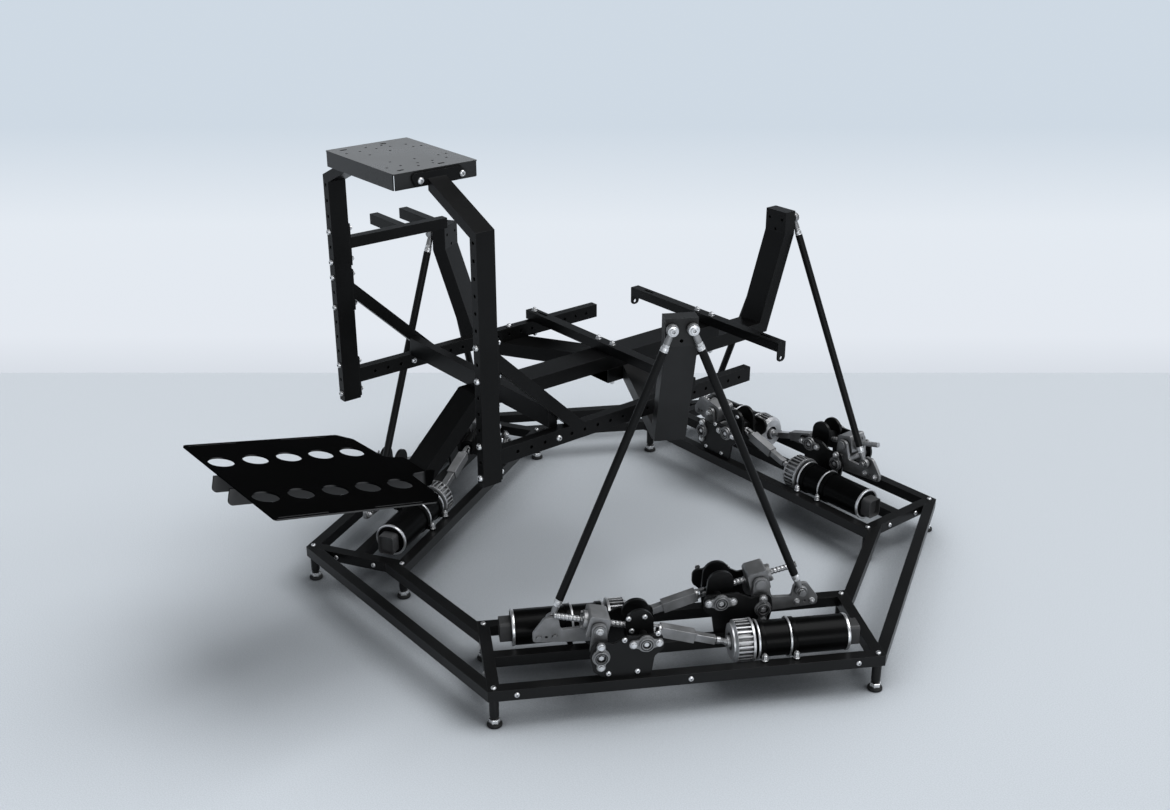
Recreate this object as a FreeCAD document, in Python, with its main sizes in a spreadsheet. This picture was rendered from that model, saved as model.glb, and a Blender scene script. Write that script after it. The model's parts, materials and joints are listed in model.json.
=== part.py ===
import FreeCAD, Part
import math
import os
from FreeCAD import Placement, Rotation, Vector

# Motion simulator platform: a ring of three base modules, each with two screw drives,
# carries a cockpit frame on six pushrods. +Z is up, the origin is on the floor at the
# middle of the ring, and the driver faces -Y.

doc = FreeCAD.newDocument("motion_platform")
sheet = doc.addObject("Spreadsheet::Sheet", "sizes")

# Driving sizes in millimetres and degrees. "off" is measured across a module from the
# middle rail, "along" is measured along a module from its middle.
DRIVING_SIZES = {
    "module_length": 1000,
    "module_width": 317.5,
    "ring_radius": 653.5,
    "rail_side": 30,
    "rail_top": 107.5,
    "tube_wall": 2,
    "foot_radius": 19,
    "foot_disc": 9,
    "foot_stem_radius": 12,
    "foot_inset": 15,
    "drive_off": 74,
    "plate_thickness": 7,
    "plate_inner_off": 6,
    "plate_outer_off": 139,
    "pivot_along": -223,
    "pivot_height": 172,
    "trunnion_along": -112,
    "trunnion_height": 200,
    "nut_pin_along": -222,
    "nut_pin_height": 227,
    "rod_pin_along": -326.5,
    "rod_pin_height": 207.6,
    "rod_pin_off": 15,
    "lever_plate": 10,
    "lever_inner_off": 28,
    "lever_outer_off": 110,
    "lever_tip_along": -376,
    "pivot_shaft_radius": 12,
    "trunnion_radius": 10,
    "running_clearance": 0.05,
    "nut_pin_radius": 7,
    "nut_pin_play": 1.9,
    "nut_block_width": 64,
    "nut_block_long": 54,
    "nut_block_deep": 56,
    "screw_radius": 8,
    "screw_reach": 222,
    "carrier_width": 60,
    "carrier_barrel_radius": 28,
    "carrier_barrel_long": 46,
    "joint_back": 30,
    "motor_height": 134,
    "joint_front_along": 109,
    "joint_ball_radius": 10,
    "motor_radius": 46,
    "motor_start": 178,
    "motor_end": 412,
    "motor_cap_end": 450,
    "motor_ring_long": 8,
    "motor_ring_proud": 1.5,
    "hub_radius": 56,
    "hub_start": 118,
    "hub_end": 172,
    "hub_fins": 26,
    "hub_fin_thick": 4,
    "hub_shoulder": 10,
    "clamp_first": 193,
    "clamp_second": 275,
    "clamp_thick": 3.3,
    "clamp_wide": 14,
    "clamp_foot": 30,
    "clamp_ring_wide": 6,
    "clamp_ring_thick": 5.5,
    "motor_clearance": 0.3,
    "rod_tube_radius": 10.5,
    "rod_bolt_radius": 5,
    "eye_radius": 15,
    "eye_width": 12,
    "arm_width": 80,
    "arm_depth": 40,
    "arm_radius": 600,
    "arm_top_margin": 25,
    "arm_bend_drop": 46,
    "arm_bottom": 597,
    "arm_foot_radius": 504,
    "eye_spread": 25,
    "eye_height": 932,
    "eye_gap": 11,
    "eye_bolt_radius": 4.3,
    "eye_bore_radius": 7,
    "frame_top": 670,
    "frame_tube_deep": 40,
    "beam_rear": 300,
    "star_front": -124,
    "beam_bend": -565,
    "boom_end": -737,
    "rail_outside": 340,
    "rail_wide": 25,
    "rail_rear": 127,
    "upright_rear": -703,
    "upright_deep": 50,
    "upright_foot": 585,
    "upright_bend_drop": 107,
    "upright_lean": 65,
    "side_bolt_spread": 430,
    "end_bolt_spread": 60,
    "clamp_foot_inner": 5,
    "clamp_foot_outer": 113,
    "deck_bolt_front": -771.6,
    "deck_bolt_rear": -659.5,
    "cross_beam_y": -515,
    "cross_beam_wide": 25,
    "cross_beam_deep": 50,
    "part_gap": 0.3,
    "brace_top": 914,
    "brace_foot": -450,
    "brace_wide": 25,
    "brace_deep": 30,
    "deck_half_width": 151.8,
    "deck_front": -839.8,
    "deck_rear": -614.8,
    "deck_top": 1312,
    "deck_flange": 38,
    "deck_sheet": 3,
    "deck_plate": 4,
    "front_bar_half": 350,
    "front_bar_y": -101,
    "rear_bar_half": 309,
    "rear_bar_y": 277,
    "seat_bar_wide": 30,
    "seat_bar_deep": 27,
    "shifter_hole_drop": 10,
    "shifter_deep": 29,
    "shifter_wide": 25,
    "shifter_end": -401,
    "shifter_stub": 142,
    "stub_first": -532,
    "stub_second": -438,
    "pedal_front_y": -1200.2,
    "pedal_front_z": 617.2,
    "pedal_tilt": 12.6,
    "pedal_sheet": 4,
    "pedal_half_width": 245,
    "pedal_hole_spread": 116.2,
    "pedal_hole_pitch": 89.9,
    "pedal_hole_radius": 32,
    "pedal_channel_deep": 46,
    "bolt_head_radius": 7,
    "bolt_head_height": 4.5,
    "bolt_shank_radius": 4,
    "bolt_hole_radius": 4.5,
    "hole_pitch": 41,
    "rail_hole_first": 50,
    "upright_hole_first": 21,
    "end_plate_thick": 4,
    "end_plate_margin": 15,
    "nut_height": 7,
    "nut_corner_radius": 7.5,
    "thread_end": 3,
}
# Sizes that follow from the driving ones. The arms end above and bend below the eyes that
# they carry, the uprights bend below the deck, and the shifter arm hangs on the uprights'
# rows of holes.
DRIVEN_SIZES = {
    "arm_top": "=eye_height + arm_top_margin",
    "arm_bend": "=eye_height - arm_bend_drop",
    "upright_bend": "=deck_top - upright_bend_drop",
    "shifter_height": "=upright_foot + upright_hole_first + 10 * hole_pitch - shifter_hole_drop",
}
for row, (alias, value) in enumerate((DRIVING_SIZES | DRIVEN_SIZES).items(), start=1):
    sheet.set(f"A{row}", alias)
    sheet.set(f"B{row}", str(value))
    sheet.setAlias(f"B{row}", alias)
doc.recompute()


class Sizes:
    """The sheet's cells as plain numbers."""

    def __getattr__(self, alias):
        return float(sheet.get(alias))


s = Sizes()
parts = {}


def keep(node, feature, placement=None):
    """Give a finished sub-part its node name and its place."""
    feature.Label = node
    if placement is not None:
        feature.Placement = placement
    parts[node] = feature
    return feature


def rounded(corners):
    """Edges of a closed outline; each corner is (x, y) or (x, y, radius)."""
    spots = [Vector(c[0], c[1], 0) for c in corners]
    radii = [c[2] if len(c) > 2 else 0 for c in corners]
    count = len(spots)
    edges = []
    joints = []
    for i, spot in enumerate(spots):
        back = (spots[i - 1] - spot).normalize()
        ahead = (spots[(i + 1) % count] - spot).normalize()
        if radii[i] == 0:
            joints.append((spot, None, spot))
            continue
        half = back.getAngle(ahead) / 2
        reach = radii[i] / math.tan(half)
        middle = spot + (back + ahead).normalize() * (radii[i] / math.sin(half) - radii[i])
        joints.append((spot + back * reach, middle, spot + ahead * reach))
    for i, (start, middle, end) in enumerate(joints):
        if middle is not None:
            edges.append(Part.Arc(start, middle, end))
        following = joints[(i + 1) % count][0]
        if end.distanceToPoint(following) > 1e-6:
            edges.append(Part.LineSegment(end, following))
    return edges


def ring(x, y, radius):
    return [Part.Circle(Vector(x, y, 0), Vector(0, 0, 1), radius)]


def hexagon(x, y, radius):
    """Outline of a bolt head or nut, with its flats up and down."""
    return rounded([(x + across, y + up) for across, up in hexagon_points(radius)])


def hexagon_points(radius):
    turns = [math.radians(60 * index) for index in range(6)]
    return [(radius * math.cos(turn), radius * math.sin(turn)) for turn in turns]


def new_body(name):
    return doc.addObject("PartDesign::Body", name)


def add_sketch(body, name, role, edges, lift=0.0):
    """A sketch on one of the body's own planes, lifted along the plane's normal."""
    sketch = body.newObject("Sketcher::SketchObject", name)
    plane = next(f for f in body.Origin.OriginFeatures if f.Role == role)
    sketch.AttachmentSupport = (plane, [""])
    sketch.MapMode = "FlatFace"
    sketch.AttachmentOffset = Placement(Vector(0, 0, lift), Rotation())
    sketch.addGeometry(edges, False)
    return sketch


def pad(body, name, role, edges, length, lift=0.0):
    """Pad an outline; length is a formula on the sheet."""
    sketch = add_sketch(body, name + "_sketch", role, edges, lift)
    feature = body.newObject("PartDesign::Pad", name)
    feature.Profile = sketch
    feature.setExpression("Length", length)
    body.Tip = feature
    doc.recompute()
    return feature


def pocket(body, name, role, edges, lift=0.0):
    """Cut an outline through all of the body, both ways, and check that it cuts."""
    before = body.Shape.Volume
    sketch = add_sketch(body, name + "_sketch", role, edges, lift)
    feature = body.newObject("PartDesign::Pocket", name)
    feature.Profile = sketch
    feature.Type = "ThroughAll"
    feature.Midplane = True
    body.Tip = feature
    doc.recompute()
    if body.Shape.Volume >= before - 1e-6:
        raise ValueError(name + " cuts nothing")
    return feature


def box(name, x, y, z, length, width, height):
    """A box by its lowest corner and sizes; every argument is a formula on the sheet."""
    feature = doc.addObject("Part::Box", name)
    for prop, formula in (("Length", length), ("Width", width), ("Height", height)):
        feature.setExpression(prop, formula)
    for axis, formula in (("x", x), ("y", y), ("z", z)):
        feature.setExpression("Placement.Base." + axis, formula)
    return feature


def tube(name, x, y, z, length, width, height, along, closed=False):
    """A rectangular tube along X or Y, its wall from the sheet, its ends open or capped."""
    outer = box(name + "_outside", x, y, z, length, width, height)
    wall = "sizes.tube_wall"
    spots = {"x": x, "y": y, "z": z}
    spans = {"x": length, "y": width, "z": height}
    for axis in spots:
        margin = f"-{wall}" if axis == along and not closed else wall
        spots[axis] = f"{spots[axis]} + ({margin})"
        spans[axis] = f"{spans[axis]} - 2 * ({margin})"
    inner = box(name + "_inside", *spots.values(), *spans.values())
    return cut(name, outer, inner)


def cut(name, base, tool):
    feature = doc.addObject("Part::Cut", name)
    feature.Base = base
    feature.Tool = tool
    return feature


def fuse(name, pieces):
    feature = doc.addObject("Part::MultiFuse", name)
    feature.Shapes = pieces
    feature.Refine = True
    return feature


def group(name, pieces):
    """Like pieces kept as separate solids of one node."""
    feature = doc.addObject("Part::Compound", name)
    feature.Links = pieces
    return feature


def solid(name, shape, placement=None):
    feature = doc.addObject("Part::Feature", name)
    feature.Shape = shape
    if placement is not None:
        feature.Placement = placement.multiply(shape.Placement)
    return feature


def rod(name, start, end, radius):
    """A cylinder between two points, its radius a formula on the sheet."""
    feature = doc.addObject("Part::Cylinder", name)
    feature.setExpression("Radius", radius)
    feature.Height = (end - start).Length
    feature.Placement = Placement(start, Rotation(Vector(0, 0, 1), end - start))
    return feature


def mitred(path, thick):
    """Outline of a strip of one thickness along a path of two or more points.
    The path is the strip's left edge and the strip lies on its right."""
    spots = [Vector(x, y, 0) for x, y in path]
    right = []
    for i, spot in enumerate(spots):
        ways = []
        if i > 0:
            ways.append((spot - spots[i - 1]).normalize())
        if i < len(spots) - 1:
            ways.append((spots[i + 1] - spot).normalize())
        normals = [Vector(w.y, -w.x, 0) for w in ways]
        middle = sum(normals[1:], normals[0]).normalize()
        right.append(spot + middle * (thick / middle.dot(normals[0])))
    return [(p.x, p.y) for p in spots], [(p.x, p.y) for p in right]


def stretched(path, reach):
    """The path with both its ends moved outwards by reach."""
    spots = [Vector(x, y, 0) for x, y in path]
    first = spots[0] + (spots[0] - spots[1]).normalize() * reach
    last = spots[-1] + (spots[-1] - spots[-2]).normalize() * reach
    return [(first.x, first.y)] + list(path[1:-1]) + [(last.x, last.y)]


def capped_tube(path, thick, wide, wall):
    """A welded rectangular tube along a path in the XY plane, extruded in Z about 0 and
    closed at both ends."""
    left, right = mitred(path, thick)
    inner_left = mitred(path, wall)[1]
    hollow_left, hollow_right = mitred(stretched(inner_left, -wall), thick - 2 * wall)
    outer = prism(left + right[::-1], wide, -wide / 2)
    inner = prism(hollow_left + hollow_right[::-1], wide - 2 * wall, wall - wide / 2)
    return outer.cut(inner)


def prism(points, high, start=0.0):
    wire = Part.makePolygon([Vector(x, y, start) for x, y in points + points[:1]])
    return Part.Face(wire).extrude(Vector(0, 0, high))


def plate_shape(edges, high, start=0.0):
    """A flat plate from outline edges; inner loops become holes."""
    loops = [Part.Wire(Part.__sortEdges__([e.toShape() for e in loop])) for loop in edges]
    face = Part.makeFace(loops, "Part::FaceMakerBullseye")
    face.translate(Vector(0, 0, start))
    return face.extrude(Vector(0, 0, high))


def turned(angle):
    return Placement(Vector(), Rotation(Vector(0, 0, 1), angle))


# Each module is drawn with X outwards, Y along the module and Z up, then turned to its
# place. The left module mirrors the right one.
MODULES = {"right": -30, "rear": 90, "left": 210}
half_turn = Placement(Vector(2 * s.ring_radius, 0, 0), Rotation(Vector(0, 0, 1), 180))
outer_rail = s.ring_radius + s.module_width / 2
inner_rail = s.ring_radius - s.module_width / 2
half_module = s.module_length / 2
rail_bottom = s.rail_top - s.rail_side


def mirrored(name, source):
    feature = doc.addObject("Part::Mirroring", name)
    feature.Source = source
    feature.Normal = Vector(0, 1, 0)
    return feature


def stations():
    """Name, placement and whether it is mirrored, for each of the six drives."""
    for module, angle in MODULES.items():
        for side, place in (("outer", Placement()), ("inner", half_turn)):
            yield f"{module}_{side}", turned(angle).multiply(place), module == "left"


def at_station(node, source, mirror, placement):
    feature = group(node + "_set", [mirror if mirror is not None else source])
    return keep(node, feature, placement)


# Base modules: welded square tube, two long rails, a middle rail and two end rails.
def module_frame(module, angle):
    side = "sizes.rail_side"
    low = "sizes.rail_top - sizes.rail_side"
    long = "sizes.module_length"
    inside = "sizes.ring_radius - sizes.module_width / 2"
    outside = "sizes.ring_radius + sizes.module_width / 2"
    width = "sizes.module_width - 2 * sizes.rail_side"
    pieces = [
        tube(module + "_outer", f"{outside} - {side}", f"-{long} / 2", low, side, long, side, "y"),
        tube(module + "_inner", inside, f"-{long} / 2", low, side, long, side, "y"),
        tube(module + "_middle", f"sizes.ring_radius - {side} / 2", f"{side} - {long} / 2", low,
             side, f"{long} - 2 * {side}", side, "y"),
    ]
    for end, spot in (("front", f"-{long} / 2"), ("back", f"{long} / 2 - {side}")):
        pieces.append(tube(f"{module}_{end}", f"{inside} + {side}", spot, low, width, side, side, "x"))
    frame = fuse(module + "_welded", pieces)
    keep(f"module_frame_{module}", frame, turned(angle))


for module, angle in MODULES.items():
    module_frame(module, angle)


# Link rails: square tubes, mitred where they meet the module ends.
def link_tube(radius_out, half_long):
    """Trapezoid tube with 60 degree ends; its long side lies at radius_out along +X."""
    slope = s.rail_side / math.tan(math.radians(30))
    wall = s.tube_wall
    wall_slope = wall / math.tan(math.radians(30))
    outer = prism([
        (radius_out, -half_long),
        (radius_out, half_long),
        (radius_out - s.rail_side, half_long - slope),
        (radius_out - s.rail_side, slope - half_long),
    ], s.rail_side, rail_bottom)
    depth = s.rail_side - wall
    inner = prism([
        (radius_out - wall, wall - half_long),
        (radius_out - wall, half_long - wall),
        (radius_out - depth, half_long - slope + wall_slope + wall),
        (radius_out - depth, slope - wall_slope - wall - half_long),
    ], s.rail_side - 2 * wall, rail_bottom + wall)
    return outer.cut(inner)


def corner(off_axis, along):
    """Corner of the right module in the ring's own frame."""
    return turned(MODULES["right"]).multVec(Vector(off_axis, along, 0))


outer_corner = corner(outer_rail, -half_module)
inner_corner = corner(inner_rail, -half_module)
link_out = link_tube(-outer_corner.y, outer_corner.x)
inner_slope = s.rail_side / math.tan(math.radians(30))
link_in = link_tube(s.rail_side - inner_corner.y, inner_corner.x + inner_slope)
links = []
for name, angle in (("front", -90), ("rear_right", 30), ("rear_left", 150)):
    links.append(solid("link_outer_" + name, link_out, turned(angle)))
    links.append(solid("link_inner_" + name, link_in, turned(angle)))
keep("link_rails", group("link_rail_set", links))


# Levelling feet: a turned leg with a rubber disc under every module corner.
def foot_shape():
    disc = s.foot_disc
    stem = s.foot_stem_radius
    profile = Part.makePolygon([
        Vector(0, 0, 0),
        Vector(s.foot_radius, 0, 0),
        Vector(s.foot_radius, 0, disc * 0.7),
        Vector(stem * 0.8, 0, disc * 1.5),
        Vector(stem * 0.5, 0, disc * 1.6),
        Vector(stem * 0.5, 0, disc * 2.2),
        Vector(stem, 0, disc * 3.6),
        Vector(stem, 0, rail_bottom),
        Vector(0, 0, rail_bottom),
        Vector(0, 0, 0),
    ])
    return Part.Face(profile).revolve(Vector(), Vector(0, 0, 1), 360)


def module_corners():
    for off_axis in (outer_rail - s.foot_inset, inner_rail + s.foot_inset):
        for along in (s.foot_inset - half_module, half_module - s.foot_inset):
            yield off_axis, along


feet = []
for module, angle in MODULES.items():
    for off_axis, along in module_corners():
        spot = turned(angle).multVec(Vector(off_axis, along, 0))
        feet.append(solid("foot", foot_shape(), Placement(spot, Rotation())))
keep("levelling_feet", group("foot_set", feet))

# Drive geometry in the module frame: the screw axis runs from the trunnion through the
# nut pins, and the cardan shaft from behind the trunnion to the motor's nose.
drive_x = s.ring_radius + s.drive_off
pivot = Vector(drive_x, s.pivot_along, s.pivot_height)
trunnion = Vector(drive_x, s.trunnion_along, s.trunnion_height)
nut_pin = Vector(drive_x, s.nut_pin_along, s.nut_pin_height)
screw_way = (nut_pin - trunnion).normalize()
screw_tip = trunnion + screw_way * s.screw_reach
joint_rear = trunnion - screw_way * s.joint_back
joint_front = Vector(drive_x, s.joint_front_along, s.motor_height)
cardan_way = (joint_front - joint_rear).normalize()


def off(distance):
    """X of a point that lies this far across from the middle rail's centre."""
    return s.ring_radius + distance


# Lever: a pivot shaft with two crank plates; the inner plate carries the output arm
# and the pin of the pushrod.
def lever_body():
    body = new_body("lever_master")
    pad(body, "pivot_shaft", "YZ_Plane", ring(pivot.y, pivot.z, s.pivot_shaft_radius),
        "sizes.plate_outer_off - sizes.plate_inner_off + 2 * sizes.plate_thickness",
        off(s.plate_inner_off - 4))
    boss = 24
    head = 17
    tip = s.lever_tip_along
    arm = [
        (s.nut_pin_along - head, s.nut_pin_height + head, head - 2),
        (s.nut_pin_along + head, s.nut_pin_height + head, head - 2),
        (s.pivot_along + boss, s.pivot_height - boss, boss - 2),
        (s.pivot_along - boss, s.pivot_height - boss, boss - 2),
        (tip, s.pivot_height - 15, 9),
        (tip, s.pivot_height + 8, 9),
        (s.rod_pin_along - 19, s.rod_pin_height + 15, 14),
        (s.rod_pin_along + 15, s.rod_pin_height + 15, 14),
        (s.rod_pin_along + 21, s.pivot_height + 14, 6),
        (s.pivot_along - 30, s.pivot_height + 16, 10),
    ]
    pad(body, "output_plate", "YZ_Plane", rounded(arm), "sizes.lever_plate", off(s.lever_inner_off))
    crank = [
        (s.nut_pin_along - head, s.nut_pin_height + head, head - 2),
        (s.nut_pin_along + head, s.nut_pin_height + head, head - 2),
        (s.pivot_along + boss, s.pivot_height - boss, boss - 2),
        (s.pivot_along - boss, s.pivot_height - boss, boss - 2),
    ]
    pad(body, "crank_plate", "YZ_Plane", rounded(crank), "sizes.lever_plate", off(s.lever_outer_off))
    pad(body, "rod_pin", "YZ_Plane", ring(s.rod_pin_along, s.rod_pin_height, s.rod_bolt_radius),
        "sizes.lever_inner_off + sizes.lever_plate - sizes.rod_pin_off + sizes.eye_width",
        off(s.rod_pin_off - s.eye_width))
    pad(body, "rod_pin_spacer", "YZ_Plane", ring(s.rod_pin_along, s.rod_pin_height, s.rod_bolt_radius * 1.8),
        "sizes.lever_inner_off - sizes.rod_pin_off - 0.5 * sizes.eye_width - 4",
        off(s.rod_pin_off + s.eye_width / 2 + 4))
    pad(body, "rod_pin_head", "YZ_Plane",
        ring(s.rod_pin_along, s.rod_pin_height, s.rod_bolt_radius * 1.7), "4",
        off(s.rod_pin_off - s.eye_width - 4))
    fork = s.nut_pin_radius + s.nut_pin_play
    pocket(body, "fork_holes", "YZ_Plane", ring(s.nut_pin_along, s.nut_pin_height, fork))
    bolt_line = s.pivot_height - 3
    pocket(body, "arm_hole", "YZ_Plane", ring(tip + 34, bolt_line, 4))
    for index, step in enumerate((15, 55)):
        pad(body, f"arm_bolt_{index}", "YZ_Plane", hexagon(tip + step, bolt_line, s.nut_corner_radius), "5",
            off(s.lever_inner_off + s.lever_plate))
    return body


# Nut: a cast block round the screw with a round flange and two side pins.
def nut_feature():
    body = new_body("nut_block")
    way = math.degrees(math.atan2(screw_way.z, screw_way.y))
    turn = Placement(Vector(nut_pin.y, nut_pin.z, 0), Rotation(Vector(0, 0, 1), way))
    half_long = s.nut_block_long / 2
    half_deep = s.nut_block_deep / 2
    corners = []
    for along, up, radius in ((-half_long, -half_deep, 10), (half_long, -half_deep, 6),
                              (half_long, half_deep, 6), (-half_long, half_deep, 10)):
        spot = turn.multVec(Vector(along, up, 0))
        corners.append((spot.x, spot.y, radius))
    pad(body, "block", "YZ_Plane", rounded(corners), "sizes.nut_block_width",
        drive_x - s.nut_block_width / 2)
    pad(body, "pins", "YZ_Plane", ring(nut_pin.y, nut_pin.z, s.nut_pin_radius),
        "sizes.lever_outer_off - sizes.lever_inner_off + sizes.lever_plate + 2", off(s.lever_inner_off - 1))
    for name, start in (("inner", s.lever_inner_off - s.part_gap - 4),
                        ("outer", s.lever_outer_off + s.lever_plate + s.part_gap)):
        pad(body, f"{name}_washer", "YZ_Plane", ring(nut_pin.y, nut_pin.z, 2 * s.nut_pin_radius), "4",
            off(start))
    flange_end = nut_pin + screw_way * (half_long + 10)
    flange = rod("nut_flange", nut_pin + screw_way * half_long * 0.9, flange_end, "2.9 * sizes.screw_radius")
    rise = screw_way.cross(Vector(1, 0, 0))
    pieces = [body, flange]
    for across in (-1, 1):
        for up in (-1, 1):
            spot = flange_end + Vector(across * 12.5, 0, 0) + rise * up * 12.5
            pieces.append(rod("nut_flange_bolt", spot - screw_way, spot + screw_way * 4, "4"))
    bore = rod("nut_bore", nut_pin - screw_way * 80, nut_pin + screw_way * 80,
               "sizes.screw_radius + sizes.running_clearance")
    return cut("nut_master", fuse("nut_solid", pieces), bore)


# Carrier: two cheeks on the trunnion with the screw's bearing barrel between them.
def carrier_feature():
    body = new_body("carrier_cheeks")
    half = s.carrier_width / 2
    cheek = [
        (s.trunnion_along - 50, s.trunnion_height + 66, 34),
        (s.trunnion_along + 24, s.trunnion_height + 66, 34),
        (s.trunnion_along + 30, s.trunnion_height - 24, 20),
        (s.trunnion_along - 34, s.trunnion_height - 24, 20),
    ]
    pad(body, "trunnion_shaft", "YZ_Plane", ring(trunnion.y, trunnion.z, s.trunnion_radius),
        "sizes.plate_outer_off - sizes.plate_inner_off + 2 * sizes.plate_thickness",
        off(s.plate_inner_off - 4))
    for name, start in (("inner", drive_x - half), ("outer", drive_x + half - 9)):
        pad(body, "cheek_" + name, "YZ_Plane", rounded(cheek), "9", start)
    barrel_half = s.carrier_barrel_long / 2
    barrel = rod("carrier_barrel", trunnion - screw_way * (barrel_half - 12),
                 trunnion + screw_way * (barrel_half + 12),
                 "sizes.carrier_barrel_radius")
    bore = rod("carrier_bore", trunnion - screw_way * 60, trunnion + screw_way * 60,
               "sizes.screw_radius + sizes.running_clearance")
    return cut("carrier_master", fuse("carrier_solid", [body, barrel]), bore)


def fork(centre, towards, across, reach, wide):
    """A shaft fork: two ears beside the joint centre, joined to a collar."""
    ear_gap = 0.5 * wide
    ears = []
    thick = 0.24 * wide
    frame = Placement(centre, Rotation(across, Vector(), towards, "ZXY"))
    for side in (-1, 1):
        inner = ear_gap if side > 0 else -ear_gap - thick
        ear = Part.makeBox(thick, 0.66 * wide, reach, Vector(inner, -0.33 * wide, -2))
        ear = ear.fuse(Part.makeCylinder(0.33 * wide, thick, Vector(inner, 0, -2), Vector(1, 0, 0)))
        ears.append(ear)
    collar = Part.makeCylinder(0.72 * wide, 0.5 * wide, Vector(0, 0, reach - 3), Vector(0, 0, 1))
    shape = ears[0].multiFuse([ears[1], collar])
    shape.Placement = frame
    return shape


# Screw: a ground spindle with the driven fork of its universal joint.
def screw_feature():
    spindle = rod("screw_spindle", joint_rear + screw_way * 12, screw_tip, "sizes.screw_radius")
    yoke = solid("screw_fork", fork(joint_rear, screw_way, Vector(1, 0, 0), 12, 15))
    return fuse("screw_master", [spindle, yoke])


# Cardan shaft: a telescopic shaft with a fork and a cross at each end.
def cardan_feature():
    long = (joint_front - joint_rear).Length
    side = cardan_way.cross(Vector(1, 0, 0)).normalize()
    across = Vector(1, 0, 0)
    ball = doc.addObject("Part::Sphere", "cardan_ball")
    ball.setExpression("Radius", "sizes.joint_ball_radius")
    ball.Placement = Placement(joint_front, Rotation())
    return fuse("cardan_master", [
        solid("cardan_fork", fork(joint_rear, cardan_way, side, 13, 15)),
        rod("cardan_sleeve", joint_rear + cardan_way * 14, joint_rear + cardan_way * long * 0.6,
            "1.35 * sizes.screw_radius"),
        rod("cardan_spline", joint_rear + cardan_way * long * 0.5, joint_front, "0.8 * sizes.screw_radius"),
        rod("cross_own", joint_rear - side * 8, joint_rear + side * 8, "3.5"),
        rod("cross_free", joint_rear - across * 6, joint_rear + across * 6, "3.2"),
        ball,
    ])


# Pushrod: a tube with a spherical rod end at both ends. Its lower eye turns on the
# lever's pin; its upper eye stays open round the arm's bolt.
def pushrod_feature(name, low, high):
    way = (high - low).normalize()
    flat = Vector(1, 0, 0)
    pieces = []
    for end, centre, inward in (("low", low, way), ("high", high, way * -1)):
        eye = Part.makeCylinder(s.eye_radius, s.eye_width, centre - flat * s.eye_width / 2, flat)
        ball_long = s.eye_width + 5
        ball = Part.makeCylinder(s.eye_radius * 0.64, ball_long, centre - flat * ball_long / 2, flat)
        neck = Part.makeCone(6, 8, 26, centre + inward * (s.eye_radius - 3), inward)
        nut = Part.makeCylinder(9.5, 9, centre + inward * (s.eye_radius + 22), inward)
        pieces.append(eye.multiFuse([ball, neck, nut]))
    clear = s.eye_radius + 30
    tube_shape = Part.makeCylinder(s.rod_tube_radius, (high - low).Length - 2 * clear, low + way * clear, way)
    shape = tube_shape.multiFuse(pieces)
    running = s.rod_bolt_radius + s.running_clearance
    shape = shape.cut(Part.makeCylinder(running, 40, low - flat * 20, flat))
    shape = shape.cut(Part.makeCylinder(s.eye_bore_radius, 40, high - flat * 20, flat))
    return solid(name, shape)


masters = {
    "lever": lever_body(),
    "drive_nut": nut_feature(),
    "screw_carrier": carrier_feature(),
    "drive_screw": screw_feature(),
    "cardan_shaft": cardan_feature(),
}
mirrors = {piece: mirrored(piece + "_mirror", master) for piece, master in masters.items()}
for station, placement, left in stations():
    for piece, master in masters.items():
        at_station(f"{piece}_{station}", master, mirrors[piece] if left else None, placement)

eye_x = s.arm_radius + s.eye_gap
rod_low_outer = Vector(off(s.rod_pin_off), s.rod_pin_along, s.rod_pin_height)
rod_low_inner = Vector(off(-s.rod_pin_off), -s.rod_pin_along, s.rod_pin_height)
pushrods = {
    "outer": pushrod_feature("pushrod_outer_master", rod_low_outer,
                             Vector(eye_x, -s.eye_spread, s.eye_height)),
    "inner": pushrod_feature("pushrod_inner_master", rod_low_inner,
                             Vector(eye_x, s.eye_spread, s.eye_height)),
}
for side, master in pushrods.items():
    mirror = mirrored(f"pushrod_{side}_mirror", master)
    for module, angle in MODULES.items():
        at_station(f"pushrod_{module}_{side}", master, mirror if module == "left" else None, turned(angle))


# Drive plates: two standing plates for each drive with the holes of both pivots.
def drive_plate():
    body = new_body("drive_plate_master")
    outline = [
        (s.pivot_along + 12, s.rail_top, 3),
        (s.trunnion_along + 14, s.rail_top, 3),
        (s.trunnion_along + 22, s.trunnion_height - 40, 12),
        (s.trunnion_along + 44, s.trunnion_height - 20, 16),
        (s.trunnion_along + 44, s.trunnion_height + 20, 16),
        (s.trunnion_along - 44, s.trunnion_height + 22, 18),
        (s.pivot_along + 32, s.pivot_height + 32, 10),
        (s.pivot_along - 20, s.pivot_height + 42, 18),
        (s.pivot_along - 27, s.pivot_height, 10),
        (s.pivot_along - 18, s.pivot_height - 44, 16),
    ]
    pad(body, "plate", "YZ_Plane", rounded(outline), "sizes.plate_thickness", off(s.plate_outer_off))
    pivot_hole = s.pivot_shaft_radius + s.running_clearance
    pocket(body, "pivot_hole", "YZ_Plane", ring(pivot.y, pivot.z, pivot_hole))
    trunnion_hole = s.trunnion_radius + s.running_clearance
    pocket(body, "trunnion_hole", "YZ_Plane", ring(trunnion.y, trunnion.z, trunnion_hole))
    return body


def at_all_drives(name, sources):
    """Copies of the sources at each of the six drives, as one list of pieces."""
    pieces = []
    mirrors = [mirrored(f"{name}_mirror", source) for source in sources]
    for station, placement, left in stations():
        for source in mirrors if left else sources:
            piece = group(f"{name}_{station}", [source])
            piece.Placement = placement
            pieces.append(piece)
    return pieces


outer_plate = drive_plate()
inner_plate = group("inner_plate", [outer_plate])
inner_plate.Placement = Placement(Vector(s.plate_inner_off - s.plate_outer_off, 0, 0), Rotation())
keep("drive_plates", group("drive_plate_set", at_all_drives("drive_plate", [outer_plate, inner_plate])))


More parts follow.
